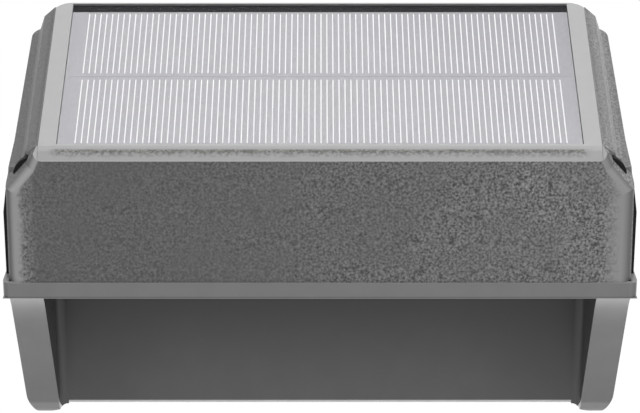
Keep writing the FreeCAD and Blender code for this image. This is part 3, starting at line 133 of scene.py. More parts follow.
world = bpy.data.worlds.new("surround")
scene.world = world
world.use_nodes = True
tree = world.node_tree
fed(tree, tree.nodes["Background"], Color=WHITE,
    Strength=mixed(tree, seen_directly(tree), SURROUND_LEVEL, 1.0))

floor_material = bpy.data.materials.new("floor")
floor_material.use_nodes = True
tree = floor_material.node_tree
tree.nodes.remove(tree.nodes["Principled BSDF"])
lit = added(tree, "ShaderNodeBsdfDiffuse", Color=FLOOR_LIT_COLOUR)
shown = added(tree, "ShaderNodeEmission", Color=WHITE, Strength=FLOOR_GLOW)
show_share = worked(tree, "MULTIPLY", seen_directly(tree), FLOOR_SHOW)
from_above = added(tree, "ShaderNodeMixShader", show_share, lit.outputs[0], shown.outputs[0])
side = tree.nodes.new("ShaderNodeNewGeometry")
clear = tree.nodes.new("ShaderNodeBsdfTransparent")
either_side = added(tree, "ShaderNodeMixShader", side.outputs["Backfacing"], from_above.outputs[0],
                    clear.outputs[0])
fed(tree, tree.nodes["Material Output"], Surface=either_side.outputs[0])

floor_mesh = bpy.data.meshes.new("floor")
half = FLOOR_SIZE / 2
floor_z = cad_low.z - FLOOR_DROP
floor_mesh.from_pydata([(-half, -half, floor_z), (half, -half, floor_z), (half, half, floor_z),
                        (-half, half, floor_z)], [], [(0, 1, 2, 3)])
floor_mesh.materials.append(floor_material)
floor = bpy.data.objects.new("floor", floor_mesh)
scene.collection.objects.link(floor)


def soft_lamp(name, place, target, size, power):
    """A square area lamp at a place, turned to face a target."""
    data = bpy.data.lights.new(name, "AREA")
    data.size = size
    data.energy = power
    lamp = bpy.data.objects.new(name, data)
    lamp.location = place
    lamp.rotation_euler = (Vector(target) - Vector(place)).to_track_quat("-Z", "Y").to_euler()
    scene.collection.objects.link(lamp)


soft_lamp("overhead", place=(0.06, -0.05, 0.95), target=(0, -0.02, 0.03), size=0.9, power=8.0)
soft_lamp("right_side", place=(0.9, -0.35, 0.3), target=(0, -0.02, 0.02), size=0.5, power=2.2)
soft_lamp("left_side", place=(-0.9, -0.3, 0.25), target=(0, -0.02, 0.02), size=0.5, power=1.2)

# ---------------------------------------------------------------------------------------------
# Base housing: one smooth dark grey ABS moulding with faint flow marks, satin from the mould. The
# lip, the two swept cheeks and the plate of the bay are one piece, and the cover stands on it.

MOTTLE_DETAIL = 3
MOTTLE_SPREAD = (0.35, 0.65)
SHEEN_SPREAD = (0.3, 0.7)
RELIEF_STRENGTH = 0.5


def noise(tree, grain, detail):
    """A noise over the piece whose grain is a length in metres."""
    place = tree.nodes.new("ShaderNodeTexCoord")
    return added(tree, "ShaderNodeTexNoise", Vector=place.outputs["Object"], Scale=1 / grain,
                 Detail=detail).outputs["Fac"]


def surface(name, dark, light, grain, roughness, relief=0.0, **sockets):
    """A material mottled between two colours, with a grain and a relief in metres."""
    material = bpy.data.materials.new(name)
    material.use_nodes = True
    tree = material.node_tree
    mottle = noise(tree, grain, MOTTLE_DETAIL)
    tint = added(tree, "ShaderNodeValToRGB", mottle)
    for element, spot, colour in zip(tint.color_ramp.elements, MOTTLE_SPREAD, (dark, light)):
        element.position = spot
        element.color = (*colour, 1)
    sheen = added(tree, "ShaderNodeMapRange", mottle, *SHEEN_SPREAD, *roughness)
    shader = fed(tree, tree.nodes["Principled BSDF"], Base_Color=tint.outputs["Color"],
                 Roughness=sheen.outputs["Result"], **sockets)
    if relief:
        bump = added(tree, "ShaderNodeBump", Strength=RELIEF_STRENGTH, Distance=relief, Height=mottle)
        fed(tree, shader, Normal=bump.outputs["Normal"])
    return material


def dress(material, *nodes):
    """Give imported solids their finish."""
    for node in nodes:
        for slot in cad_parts[node].material_slots:
            slot.material = material


def product(tree, first, *others):
    """Sockets and numbers multiplied together."""
    for term in others:
        first = worked(tree, "MULTIPLY", first, term)
    return first


def ramped(tree, value, start, end, low=0.0, high=1.0):
    """A smooth change from low to high while a value goes from start to end."""
    node = tree.nodes.new("ShaderNodeMapRange")
    node.interpolation_type = "SMOOTHSTEP"
    return fed(tree, node, value, start, end, low, high).outputs["Result"]


def axes(tree, title):
    """The three parts of a point's place ("Object") or of the surface's direction there ("Normal")."""
    place = tree.nodes.new("ShaderNodeTexCoord")
    return added(tree, "ShaderNodeSeparateXYZ", place.outputs[title]).outputs


def scaled(tree, vector, amount):
    """A vector or a colour times an amount."""
    node = tree.nodes.new("ShaderNodeVectorMath")
    node.operation = "SCALE"
    return fed(tree, node, vector, Scale=amount).outputs[0]


def shaded(material, amount):
    """Make a material's colour lighter or darker by an amount that changes over the piece."""
    tree = material.node_tree
    shader = tree.nodes["Principled BSDF"]
    colour = shader.inputs["Base Color"].links[0].from_socket
    fed(tree, shader, Base_Color=scaled(tree, colour, amount))


housing_plastic = surface("housing_plastic", dark=(0.262, 0.262, 0.263), light=(0.281, 0.281, 0.283),
                          grain=0.006, roughness=(0.34, 0.42), relief=0.00001)

# Where its faces are. A span starts where a mask is 0 and ends where it is 1, in metres or, for the
# way that a face looks, as a part of its normal.

BAY_HALF = 0.0535
BAY_TOP = 0.010
BAY_WALL_Y = -0.016
PLATE_FOOT = cad_low.z + 0.0025
TOE_TOP = cad_low.z + 0.0037
BAY_SPAN = (BAY_HALF + 0.0002, BAY_HALF)
WALL_SPAN = (BAY_WALL_Y - 0.002, BAY_WALL_Y - 0.0005)
WALL_ENDS = (0.024, 0.047)
SWEEP_SPAN = (BAY_TOP - 0.0155, BAY_TOP)
LOW_SPAN = (PLATE_FOOT, PLATE_FOOT + 0.02)
BELOW_LIP = (BAY_TOP + 0.0002, BAY_TOP)
TOE_SPAN = (TOE_TOP, TOE_TOP - 0.001)
BESIDE_BAY = (BAY_HALF - 0.001, BAY_HALF)
LIP_SPAN = (BAY_TOP - 0.0001, BAY_TOP)
LIP_ENDS = (cad_high.x - 0.0014, cad_high.x - 0.0003)
LIP_FOOT = (BAY_TOP + 0.0005, BAY_TOP + 0.0002)
LOOKS_FORWARD = (-0.3, -0.7)
LOOKS_INWARD = (-0.4, -0.8)
LOOKS_DOWN = (0, -0.14)
NOT_STRAIGHT_DOWN = (-0.99, -0.93)

# Painted light and shade, as shares of the plastic's colour. Painted shade darkens the bay and the ends of
# its wall, the cheeks' inner faces, the lowest part, the ends of the lip and its foot. Painted highlights
# lie on the sweep of the cheeks, on their toes and on the plate's rounded edge.

BAY_SHADE_TONES = (0.55, 0.045)
BAY_END_SHADE = 0.76
CHEEK_SHADE = 0.25
LOW_SHADE = 0.8
SWEEP_HIGHLIGHT = 1.75
TOE_HIGHLIGHT = 1.6
LIP_END_SHADE = 0.5
LIP_FOOT_SHADE = 0.6
PLATE_EDGE_HIGHLIGHT = 3.2

# Masks for the painted shade and the painted highlights on the housing.
tree = housing_plastic.node_tree
place = axes(tree, "Object")
facing = axes(tree, "Normal")
aside = worked(tree, "ABSOLUTE", place["X"])
inward = worked(tree, "MULTIPLY", worked(tree, "SIGN", place["X"]), facing["X"])
forward = ramped(tree, facing["Y"], *LOOKS_FORWARD)
on_wall = product(tree, ramped(tree, aside, *BAY_SPAN), ramped(tree, place["Y"], *WALL_SPAN))
on_edge = product(tree, on_wall, ramped(tree, facing["Z"], *LOOKS_DOWN),
                  ramped(tree, facing["Z"], *NOT_STRAIGHT_DOWN))
on_cheek = ramped(tree, inward, *LOOKS_INWARD)
sweep = worked(tree, "POWER", ramped(tree, place["Z"], *SWEEP_SPAN), 2)
swept_front = product(tree, sweep, ramped(tree, place["Z"], *BELOW_LIP), forward)
toe = product(tree, ramped(tree, place["Z"], *TOE_SPAN), forward, ramped(tree, aside, *BESIDE_BAY))
on_lip = product(tree, ramped(tree, place["Z"], *LIP_SPAN), forward)
lip_end = product(tree, on_lip, ramped(tree, aside, *LIP_ENDS))
lip_foot = product(tree, on_lip, ramped(tree, place["Z"], *LIP_FOOT))
painted_bay_shade = product(tree, ramped(tree, place["Z"], PLATE_FOOT, BAY_TOP, *BAY_SHADE_TONES),
                    ramped(tree, aside, *WALL_ENDS, 1, BAY_END_SHADE))
painted_low_shade = ramped(tree, place["Z"], *LOW_SPAN, LOW_SHADE, 1)
painted_light_and_shade = worked(tree, "MULTIPLY_ADD", swept_front, SWEEP_HIGHLIGHT, painted_low_shade)
for mask, change in ((toe, TOE_HIGHLIGHT), (lip_end, LIP_END_SHADE), (lip_foot, LIP_FOOT_SHADE)):
    painted_light_and_shade = product(tree, painted_light_and_shade, mixed(tree, mask, 1, change))
for mask, instead in ((on_wall, painted_bay_shade), (on_edge, PLATE_EDGE_HIGHLIGHT), (on_cheek, CHEEK_SHADE)):
    painted_light_and_shade = mixed(tree, mask, painted_light_and_shade, instead)
# The painted light and shade go into the plastic's colour here.
shaded(housing_plastic, painted_light_and_shade)
dress(housing_plastic, "base_housing")

# ---------------------------------------------------------------------------------------------
# Back plate: a flat moulding in the same plastic, with a duller, finely grained face. It closes
# the housing's back, is screwed on at its corners and hangs on the wall by two keyholes.

back_plastic = surface("back_plastic", dark=(0.17, 0.17, 0.172), light=(0.2, 0.2, 0.203),
                       grain=0.0012, roughness=(0.5, 0.62), relief=0.00004)
dress(back_plastic, "back_plate")

# ---------------------------------------------------------------------------------------------
# Seals: black silicone, matt from the mould. A cord lies between cover and housing and a gasket under the
# window's flange. A near black strip lies in the gap at each of the cover's corners.

silicone = surface("silicone", dark=(0.006, 0.006, 0.006), light=(0.012, 0.012, 0.012),
                   grain=0.0015, roughness=(0.55, 0.7), relief=0.00002, Specular_IOR_Level=0.2)
dress(silicone, "main_seal", "lens_seal", "side_seals")

# ---------------------------------------------------------------------------------------------
# Window and lamps: a frosted acrylic tray dropped into the bay's ceiling. Above it, small lamps
# under yellow phosphor are soldered to a board with a green mask, as on the control board.

frosted = surface("frosted", dark=(0.78, 0.78, 0.76), light=(0.84, 0.84, 0.82), grain=0.0008,
                  roughness=(0.38, 0.5), relief=0.00001, Transmission_Weight=0.45, IOR=1.49)
dress(frosted, "diffuser_lens")
lamp_package = surface("lamp_package", dark=(0.8, 0.72, 0.3), light=(0.88, 0.82, 0.45),
                       grain=0.001, roughness=(0.25, 0.4))
dress(lamp_package, "leds")
solder_mask = surface("solder_mask", dark=(0.02, 0.1, 0.045), light=(0.03, 0.14, 0.06),
                      grain=0.002, roughness=(0.25, 0.4), relief=0.00001)
dress(solder_mask, "led_board", "control_board")

# ---------------------------------------------------------------------------------------------
# Push button: a soft black rubber cap with a fine matt grain, on a hard black plunger that slides
# through the bay's ceiling and works the switch.

button_rubber = surface("button_rubber", dark=(0.02, 0.02, 0.02), light=(0.035, 0.035, 0.036),
                        grain=0.0004, roughness=(0.6, 0.75), relief=0.00003)
dress(button_rubber, "button_cap")
switch_plastic = surface("switch_plastic", dark=(0.02, 0.02, 0.02), light=(0.03, 0.03, 0.03),
                         grain=0.002, roughness=(0.3, 0.45))
dress(switch_plastic, "button_plunger", "switch_body")

# ---------------------------------------------------------------------------------------------
# Inner parts: chips and a ferrite coil on the control board, the sleeved cell in its cradle
# between plated steel contacts, and the wires. All are sealed inside the two shells.

chip_plastic = surface("chip_plastic", dark=(0.02, 0.02, 0.022), light=(0.04, 0.04, 0.042),
                       grain=0.0008, roughness=(0.45, 0.6))
dress(chip_plastic, "control_chips")
ferrite = surface("ferrite", dark=(0.05, 0.05, 0.055), light=(0.09, 0.09, 0.095),
                  grain=0.0006, roughness=(0.6, 0.75), relief=0.00003)
dress(ferrite, "charge_coil")
battery_sleeve = surface("battery_sleeve", dark=(0.02, 0.09, 0.3), light=(0.03, 0.12, 0.36),
                         grain=0.008, roughness=(0.22, 0.32))
dress(battery_sleeve, "battery_cell")
cradle_plastic = surface("cradle_plastic", dark=(0.03, 0.03, 0.03), light=(0.045, 0.045, 0.045),
                         grain=0.002, roughness=(0.45, 0.6))
dress(cradle_plastic, "battery_cradle")
plated_steel = surface("plated_steel", dark=(0.5, 0.49, 0.47), light=(0.62, 0.61, 0.59),
                       grain=0.0015, roughness=(0.25, 0.4), Metallic=1.0)
dress(plated_steel, "battery_tab", "battery_spring", "board_screws")
wire_sleeve = surface("wire_sleeve", dark=(0.35, 0.02, 0.02), light=(0.45, 0.03, 0.03),
                      grain=0.002, roughness=(0.35, 0.5))
dress(wire_sleeve, "panel_wires", "led_wires", "battery_wires")

# ---------------------------------------------------------------------------------------------
# Top cover: the same grey ABS with a pebbled texture etched into the mould, and pale specks painted on the
# pebbles as glints of light, stronger towards the right. The front's chamfers and rounded corners stay
# smooth and carry a painted highlight. Screws hold it from below.

PEBBLE = 0.00046
PEBBLE_DETAIL = 2
PEBBLE_MIDDLE = 0.47
PEBBLE_RELIEF = 0.00009
PATCH = 0.012
RAGGED_GRAIN = 0.0012
RAGGED_REACH = 0.003
COVER_ROUGHNESS = (0.42, 0.55)

# Where its faces are. The texture ends in a ragged line short of each front corner, with a painted
# highlight beside the left one. The shoulders are the strips that slope away at the sides of the bezel,
# each with a chamfer beside the bezel and a ledge further out. A turn is the part of a face's normal that
# points sideways.

TEXTURE_END = 0.0568
LEFT_FADE = (TEXTURE_END, TEXTURE_END - 0.0016)
RIGHT_FADE = (TEXTURE_END, TEXTURE_END - 0.0044)
RIGHT_HALF = (-0.001, 0.001)
HALO_SPAN = (-0.0525, -0.0558)
FLAT_FRONT = (0.93, 0.985)
FRONT_HALF = (0.4, 0.55)
SHOULDER_LOOKS_UP = (0.15, 0.28)
SHOULDER_SPAN = (-0.038, -0.036)
CHAMFER_TURN = (0.48, 0.6)
CHAMFER_TURN_END = (0.8, 0.7)
CHAMFER_SPAN = (0.053, 0.054)
LEDGE_SPAN = (0.0571, 0.0573)
SIDE_TURN = (0.75, 0.97)
SHOULDER_SIDE_TURN = (0.75, 0.9)

# How strong the painted glints are, and the painted light and shade in the plastic's colour: darker to the
# left and lighter to the right, lighter on the painted highlight beside the left corner, darker on side
# faces and beyond the ledges, lighter on the shoulders' side faces and across the chamfers, and a painted
# highlight on the smooth chamfers and corners. A pair goes with the start and the end of a span, and four
# numbers are a span with its own pair.

GLINT_SPAN = (cad_low.x * 0.6, cad_high.x * 0.8)
GLINT_STRENGTHS = (0.42, 1.05)
PATCH_SPREAD = (0.3, 0.7)
PATCH_STRENGTHS = (0.75, 1.25)
SHOULDER_STRENGTH = 0.5
HALO_STRENGTH = 2.2
GLINT_LIFT = 0.75
GRAIN_TONE = 0.16
DARKEST_TONE = 0.05
LEFT_WASH = (-0.045, 0.02, 0.86, 1.0)
RIGHT_WASH = (0.01, 0.055, 1, 1.2)
HALO_TONE = 1.38
SIDE_TONES = (1, 0.72)
SHOULDER_SIDE_TONES = (1, 1.7)
CHAMFER_TONES = (0.84, 1.13)
LEDGE_TONES = (1, 0.7)
SMOOTH_HIGHLIGHT = 0.42
SMOOTH_WASH = (cad_low.x, cad_high.x, 1.07, 0.94)
RIGHT_TURN = (0, 0.95, SMOOTH_HIGHLIGHT, SMOOTH_HIGHLIGHT * 0.16)
LEFT_TURN = (-0.35, -0.85, 1, 0.14)
UPWARD_TURN = (0.3, 0.6, 1, 0.88)
SHOULDER_RELIEF = 0.45

cover_plastic = bpy.data.materials.new("cover_plastic")
cover_plastic.use_nodes = True
tree = cover_plastic.node_tree
place = axes(tree, "Object")
facing = axes(tree, "Normal")
pebbles = noise(tree, PEBBLE, PEBBLE_DETAIL)
patches = noise(tree, PATCH, 1)
ragged = noise(tree, RAGGED_GRAIN, 2)
aside = worked(tree, "ABSOLUTE", place["X"])
turned = worked(tree, "ABSOLUTE", facing["X"])
forward = worked(tree, "MULTIPLY", facing["Y"], -1)
edge = worked(tree, "MULTIPLY_ADD", ragged, -RAGGED_REACH, worked(tree, "ADD", aside, RAGGED_REACH / 2))
inside_corner = mixed(tree, ramped(tree, place["X"], *RIGHT_HALF), ramped(tree, edge, *LEFT_FADE),
                      ramped(tree, edge, *RIGHT_FADE))
flat_front = product(tree, ramped(tree, forward, *FLAT_FRONT), inside_corner)
smooth = product(tree, ramped(tree, forward, *FRONT_HALF), worked(tree, "SUBTRACT", 1, flat_front))
textured = worked(tree, "SUBTRACT", 1, smooth)
# A painted highlight on the flat front beside the left corner.
halo_highlight = product(tree, ramped(tree, place["X"], *HALO_SPAN), flat_front)
shoulder = product(tree, ramped(tree, facing["Z"], *SHOULDER_LOOKS_UP),
                   ramped(tree, place["Y"], *SHOULDER_SPAN))
chamfer = product(tree, shoulder, ramped(tree, turned, *CHAMFER_TURN),
                  ramped(tree, turned, *CHAMFER_TURN_END))

# Painted glints: pale specks on the pebbles, stronger towards the right, in patches and beside the left
# corner, and weaker on the shoulders.
painted_glints = product(tree, ramped(tree, place["X"], *GLINT_SPAN, *GLINT_STRENGTHS),
                 ramped(tree, patches, *PATCH_SPREAD, *PATCH_STRENGTHS),
                 mixed(tree, shoulder, 1, SHOULDER_STRENGTH), mixed(tree, halo_highlight, 1, HALO_STRENGTH),
                 worked(tree, "SUBTRACT", pebbles, PEBBLE_MIDDLE))
# Painted light and shade on the textured plastic: darker on side faces and beyond the ledges, lighter on
# the shoulders' side faces and outward across the chamfers, darker to the left and lighter to the right.
side_tone = mixed(tree, shoulder, ramped(tree, turned, *SIDE_TURN, *SIDE_TONES),
                  ramped(tree, turned, *SHOULDER_SIDE_TURN, *SHOULDER_SIDE_TONES))
chamfer_tone = mixed(tree, chamfer, 1, ramped(tree, aside, *CHAMFER_SPAN, *CHAMFER_TONES))
ledge_tone = mixed(tree, shoulder, 1, ramped(tree, aside, *LEDGE_SPAN, *LEDGE_TONES))
painted_light_wash = product(tree, ramped(tree, place["X"], *LEFT_WASH), ramped(tree, place["X"], *RIGHT_WASH),
               mixed(tree, halo_highlight, 1, HALO_TONE), side_tone, chamfer_tone, ledge_tone)
glinted = worked(tree, "MULTIPLY_ADD", painted_glints, GLINT_LIFT, GRAIN_TONE)
grain_tone = product(tree, worked(tree, "MAXIMUM", glinted, DARKEST_TONE), painted_light_wash)
# A painted highlight on the smooth chamfers and corners, lighter to the left and darker as they turn to the
# sides or up.
smooth_highlight = product(tree, ramped(tree, place["X"], *SMOOTH_WASH),
                      ramped(tree, facing["X"], *RIGHT_TURN), ramped(tree, facing["X"], *LEFT_TURN),
                      ramped(tree, facing["Z"], *UPWARD_TURN))
relief_share = product(tree, textured, RELIEF_STRENGTH, mixed(tree, shoulder, 1, SHOULDER_RELIEF))
bump = added(tree, "ShaderNodeBump", Strength=relief_share, Distance=PEBBLE_RELIEF, Height=pebbles)
fed(tree, tree.nodes["Principled BSDF"], Base_Color=mixed(tree, textured, smooth_highlight, grain_tone),
    Roughness=ramped(tree, textured, 0, 1, *COVER_ROUGHNESS), Normal=bump.outputs["Normal"])
dress(cover_plastic, "top_cover")

# ---------------------------------------------------------------------------------------------
# Panel frame: a smooth light grey bezel, satin, snapped into the cover round the panel. Its front
# rail is stained where sealant was wiped off it, in a blotchy band above the seam.

# Heights are above the rail's foot. Four numbers are a span with the shares at its start and end.

SMUDGE_GRAIN = 1 / 1500
SMUDGE_REACH = 0.0005
SMUDGE_SPREAD = (0.4, 0.6, 0.5, 1.5)
STAIN_TOP = (0.00195, 0.0015)
STAIN_FOOT = (0.0002, 0.0015, 0, 0.5)
STAIN_ENDS = (0.0512, 0.0482)
CHAMFER_SHADE = (0.0012, 0.0018, 0.8, 1.0)
bezel_plastic = surface("bezel_plastic", dark=(0.4, 0.4, 0.402), light=(0.425, 0.425, 0.427),
                        grain=0.004, roughness=(0.38, 0.48))
rail_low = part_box("panel_frame")[0]
tree = bezel_plastic.node_tree
place = axes(tree, "Object")
smudges = noise(tree, SMUDGE_GRAIN, MOTTLE_DETAIL)
above_rail = worked(tree, "SUBTRACT", place["Z"], rail_low.z + SMUDGE_REACH / 2)
rise = worked(tree, "MULTIPLY_ADD", smudges, SMUDGE_REACH, above_rail)
stain = product(tree, ramped(tree, rise, *STAIN_TOP), ramped(tree, rise, *STAIN_FOOT),
                ramped(tree, worked(tree, "ABSOLUTE", place["X"]), *STAIN_ENDS),
                ramped(tree, smudges, *SMUDGE_SPREAD))
# Painted shade also darkens the rail's chamfer towards its foot.
shaded(bezel_plastic, product(tree, ramped(tree, rise, *CHAMFER_SHADE), worked(tree, "SUBTRACT", 1, stain)))
dress(bezel_plastic, "panel_frame")

# ---------------------------------------------------------------------------------------------
# Sealant: a bead of soft brown sealant beds the panel in its frame. It is laid by hand, so the
# seam below the bezel's front rail dries to an uneven line of small lumps.

sealant = surface("sealant", dark=(0.07, 0.071, 0.05), light=(0.26, 0.262, 0.205),
                  grain=0.0005, roughness=(0.6, 0.8))
dress(sealant, "panel_adhesive")


def grown(name, mesh, tree, inputs, body):
    """A plain mesh piece from a Geometry Nodes tree and named numbers, riding on a body."""
    carrier = bpy.data.objects.new(name + "_carrier", mesh)
    scene.collection.objects.link(carrier)
    modifier = carrier.modifiers.new("grow", "NODES")
    modifier.node_group = tree
    for item in tree.interface.items_tree:
        if item.item_type == "SOCKET" and item.in_out == "INPUT" and item.name in inputs:
            modifier[item.identifier] = inputs[item.name]
    depsgraph = bpy.context.evaluated_depsgraph_get()
    result = bpy.data.meshes.new_from_object(carrier.evaluated_get(depsgraph))
    bpy.data.objects.remove(carrier)
    piece = bpy.data.objects.new(name, result)
    scene.collection.objects.link(piece)
    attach(piece, body)
    return piece


def new_tree(name, **inputs):
    """A Geometry Nodes tree with named inputs of the given kinds, and those inputs inside it."""
    tree = bpy.data.node_groups.new(name, "GeometryNodeTree")
    for title, kind in {"Geometry": "Geometry", **inputs}.items():
        tree.interface.new_socket(title.replace("_", " "), in_out="INPUT",
                                  socket_type="NodeSocket" + kind)
    tree.interface.new_socket("Geometry", in_out="OUTPUT", socket_type="NodeSocketGeometry")
    return tree, tree.nodes.new("NodeGroupInput").outputs


def finish_tree(tree, geometry, material):
    """End a tree in Realize Instances and Set Material."""
    whole = added(tree, "GeometryNodeRealizeInstances", geometry)
    coated = added(tree, "GeometryNodeSetMaterial", whole.outputs[0], Material=material)
    added(tree, "NodeGroupOutput", coated.outputs[0])


def random_sizes(tree, low, high, seed):
    """Three random numbers for each point, between the three of low and of high."""
    node = tree.nodes.new("FunctionNodeRandomValue")
    node.data_type = "FLOAT_VECTOR"
    return fed(tree, node, Min=low, Max=high, Seed=seed).outputs[0]


SEAM_RISE = 0.0014
RAIL_SLANT = math.sqrt(0.5)
WANDER_SEED = 7
LUMP_SEED = 11
SMALLEST_LUMP = (0.6, 0.5, 0.2)
LARGEST_LUMP = (2.4, 1.5, 0.5)
seam_tree, sizes = new_tree("seam_lumps", Count="Int", Span="Float", Lump="Float", Wander="Float")
right_end = worked(seam_tree, "MULTIPLY", sizes["Span"], 0.5)
left_end = worked(seam_tree, "MULTIPLY", sizes["Span"], -0.5)
line = seam_tree.nodes.new("GeometryNodeMeshLine")
line.mode = "END_POINTS"
fed(seam_tree, line, Count=sizes["Count"],
    Start_Location=added(seam_tree, "ShaderNodeCombineXYZ", left_end).outputs[0],
    Offset=added(seam_tree, "ShaderNodeCombineXYZ", right_end).outputs[0])
drift = scaled(seam_tree, random_sizes(seam_tree, (-1, -1, 0), (1, 1, 0), WANDER_SEED), sizes["Wander"])
scattered = added(seam_tree, "GeometryNodeSetPosition", line.outputs[0], Offset=drift)
lump = added(seam_tree, "GeometryNodeMeshIcoSphere", Subdivisions=1, Radius=sizes["Lump"])
lump_sizes = random_sizes(seam_tree, SMALLEST_LUMP, LARGEST_LUMP, LUMP_SEED)
lumps = added(seam_tree, "GeometryNodeInstanceOnPoints", scattered.outputs[0],
              Instance=lump.outputs[0], Scale=lump_sizes)
finish_tree(seam_tree, lumps.outputs[0], sealant)
seam = grown("rail_seam", bpy.data.meshes.new("seam"), seam_tree,
             {"Count": 560, "Span": 0.0985, "Lump": 0.00011, "Wander": 0.00026}, "housing")
seam_place = Vector((0, rail_low.y + SEAM_RISE, rail_low.z + SEAM_RISE))
for vertex in seam.data.vertices:
    x, up, out = vertex.co
    vertex.co = seam_place + Vector((x, (up - out) * RAIL_SLANT, (up + out) * RAIL_SLANT))

# ---------------------------------------------------------------------------------------------
# Solar panel: two rows of silicon cells, whose lilac grey colour is a painted reflection of the white
# surroundings, and a near black strip along the upper edge, laid on a sloped fibreglass board and laminated
# under a thin clear film with eased edges.

panel_back = surface("panel_back", dark=(0.03, 0.07, 0.04), light=(0.04, 0.1, 0.05),
                     grain=0.003, roughness=(0.4, 0.5))
dress(panel_back, "panel_board")
# The cells' lilac grey is a painted reflection, not their own colour.
silicon_painted_reflection = surface("silicon_painted_reflection", dark=(0.297, 0.292, 0.317), light=(0.332, 0.325, 0.353),
                  grain=0.0007, roughness=(0.3, 0.4), Coat_Weight=0.4, Coat_Roughness=0.15)
dress(silicon_painted_reflection, "solar_cells")
border_ink = surface("border_ink", dark=(0.003, 0.003, 0.0045), light=(0.009, 0.0087, 0.012),
                     grain=0.0012, roughness=(0.3, 0.45), Specular_IOR_Level=0.04)
dress(border_ink, "panel_border")
clear_film = surface("clear_film", dark=(0.85, 0.85, 0.88), light=(0.9, 0.9, 0.92), grain=0.01,
                     roughness=(0.06, 0.12), Alpha=0.012, IOR=1.45)
PANEL_TILT = math.radians(24.1)
ALONG_SLOPE = Vector((0, math.cos(PANEL_TILT), math.sin(PANEL_TILT)))
OFF_SLOPE = Vector((0, -math.sin(PANEL_TILT), math.cos(PANEL_TILT)))
FILM_THICKNESS = 0.00025
FILM_EASE = 0.00006
PRINT_ROOM = 0.00006
low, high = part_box("panel_film")
film_lean = FILM_THICKNESS * math.sin(PANEL_TILT)
film_edge = Vector((0, low.y + film_lean, low.z)) + OFF_SLOPE * PRINT_ROOM
film_run = (high.y - low.y - film_lean) / math.cos(PANEL_TILT)
shape = bmesh.new()
bmesh.ops.create_cube(shape, size=1)
for corner in shape.verts:
    across, along, out = corner.co + Vector((0, 0.5, 0.5))
    corner.co = (film_edge + Vector((across * (high.x - low.x), 0, 0)) + ALONG_SLOPE * along * film_run
                 + OFF_SLOPE * out * (FILM_THICKNESS - PRINT_ROOM))
bmesh.ops.bevel(shape, geom=shape.edges[:], offset=FILM_EASE, segments=2, affect="EDGES")
film_mesh = bpy.data.meshes.new("film")
shape.to_mesh(film_mesh)
shape.free()
film_mesh.materials.append(clear_film)
film = bpy.data.objects.new("film", film_mesh)
scene.collection.objects.link(film)
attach(film, "housing")
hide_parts("panel_film")

# ---------------------------------------------------------------------------------------------
# Silver fingers: fine white lines of fired silver paste that run up the slope on both rows of
# cells, screen printed at an even pitch.

silver_print = surface("silver_print", dark=(0.9, 0.9, 0.91), light=(0.97, 0.97, 0.98),
                       grain=0.0008, roughness=(0.35, 0.5))
finger_tree, sizes = new_tree("fingers", Count="Int", Pitch="Float", Width="Float", Length="Float",
                              Thickness="Float", First="Float", Second="Float")
rows = finger_tree.nodes.new("GeometryNodeJoinGeometry")
bar_size = added(finger_tree, "ShaderNodeCombineXYZ", sizes["Width"], sizes["Length"], sizes["Thickness"])
bar = added(finger_tree, "GeometryNodeMeshCube", Size=bar_size.outputs[0])
step = added(finger_tree, "ShaderNodeCombineXYZ", sizes["Pitch"])
intervals = worked(finger_tree, "SUBTRACT", sizes["Count"], 1)
leftmost = product(finger_tree, intervals, sizes["Pitch"], -0.5)
for row_name in ("First", "Second"):
    row_start = added(finger_tree, "ShaderNodeCombineXYZ", leftmost, sizes[row_name])
    row = added(finger_tree, "GeometryNodeMeshLine", Count=sizes["Count"],
                Start_Location=row_start.outputs[0], Offset=step.outputs[0])
    printed = added(finger_tree, "GeometryNodeInstanceOnPoints", row.outputs[0], Instance=bar.outputs[0])
    finger_tree.links.new(printed.outputs[0], rows.inputs[0])
finish_tree(finger_tree, rows.outputs[0], silver_print)

CELL_THICKNESS = 0.00025
PRINT_THICKNESS = 0.00004
PRINT_SHIFT = 0.0002
ROW_GAP = 0.0019
END_MARGIN = 0.0006
cells_low, cells_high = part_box("solar_cells")
cell_edge = Vector((0, cells_low.y, cells_low.z + CELL_THICKNESS * math.cos(PANEL_TILT)))
cell_depth = cells_high.y - CELL_THICKNESS * math.sin(PANEL_TILT) - cells_low.y
finger_length = (cell_depth / math.cos(PANEL_TILT) - ROW_GAP - 2 * END_MARGIN) / 2
first_row = END_MARGIN + finger_length / 2
fingers = grown("silver_fingers", bpy.data.meshes.new("print"), finger_tree,
                {"Count": 81, "Pitch": 0.001151, "Width": 0.00022, "Length": finger_length,
                 "Thickness": PRINT_THICKNESS, "First": first_row,
                 "Second": first_row + finger_length + ROW_GAP}, "housing")
for vertex in fingers.data.vertices:
    vertex.co = (cell_edge + Vector((vertex.co.x + PRINT_SHIFT, 0, 0)) + ALONG_SLOPE * vertex.co.y
                 + OFF_SLOPE * (vertex.co.z + PRINT_THICKNESS / 2))

# ---------------------------------------------------------------------------------------------
# Return spring: four turns of plated steel wire wound round the button's plunger. They push the button
# back.

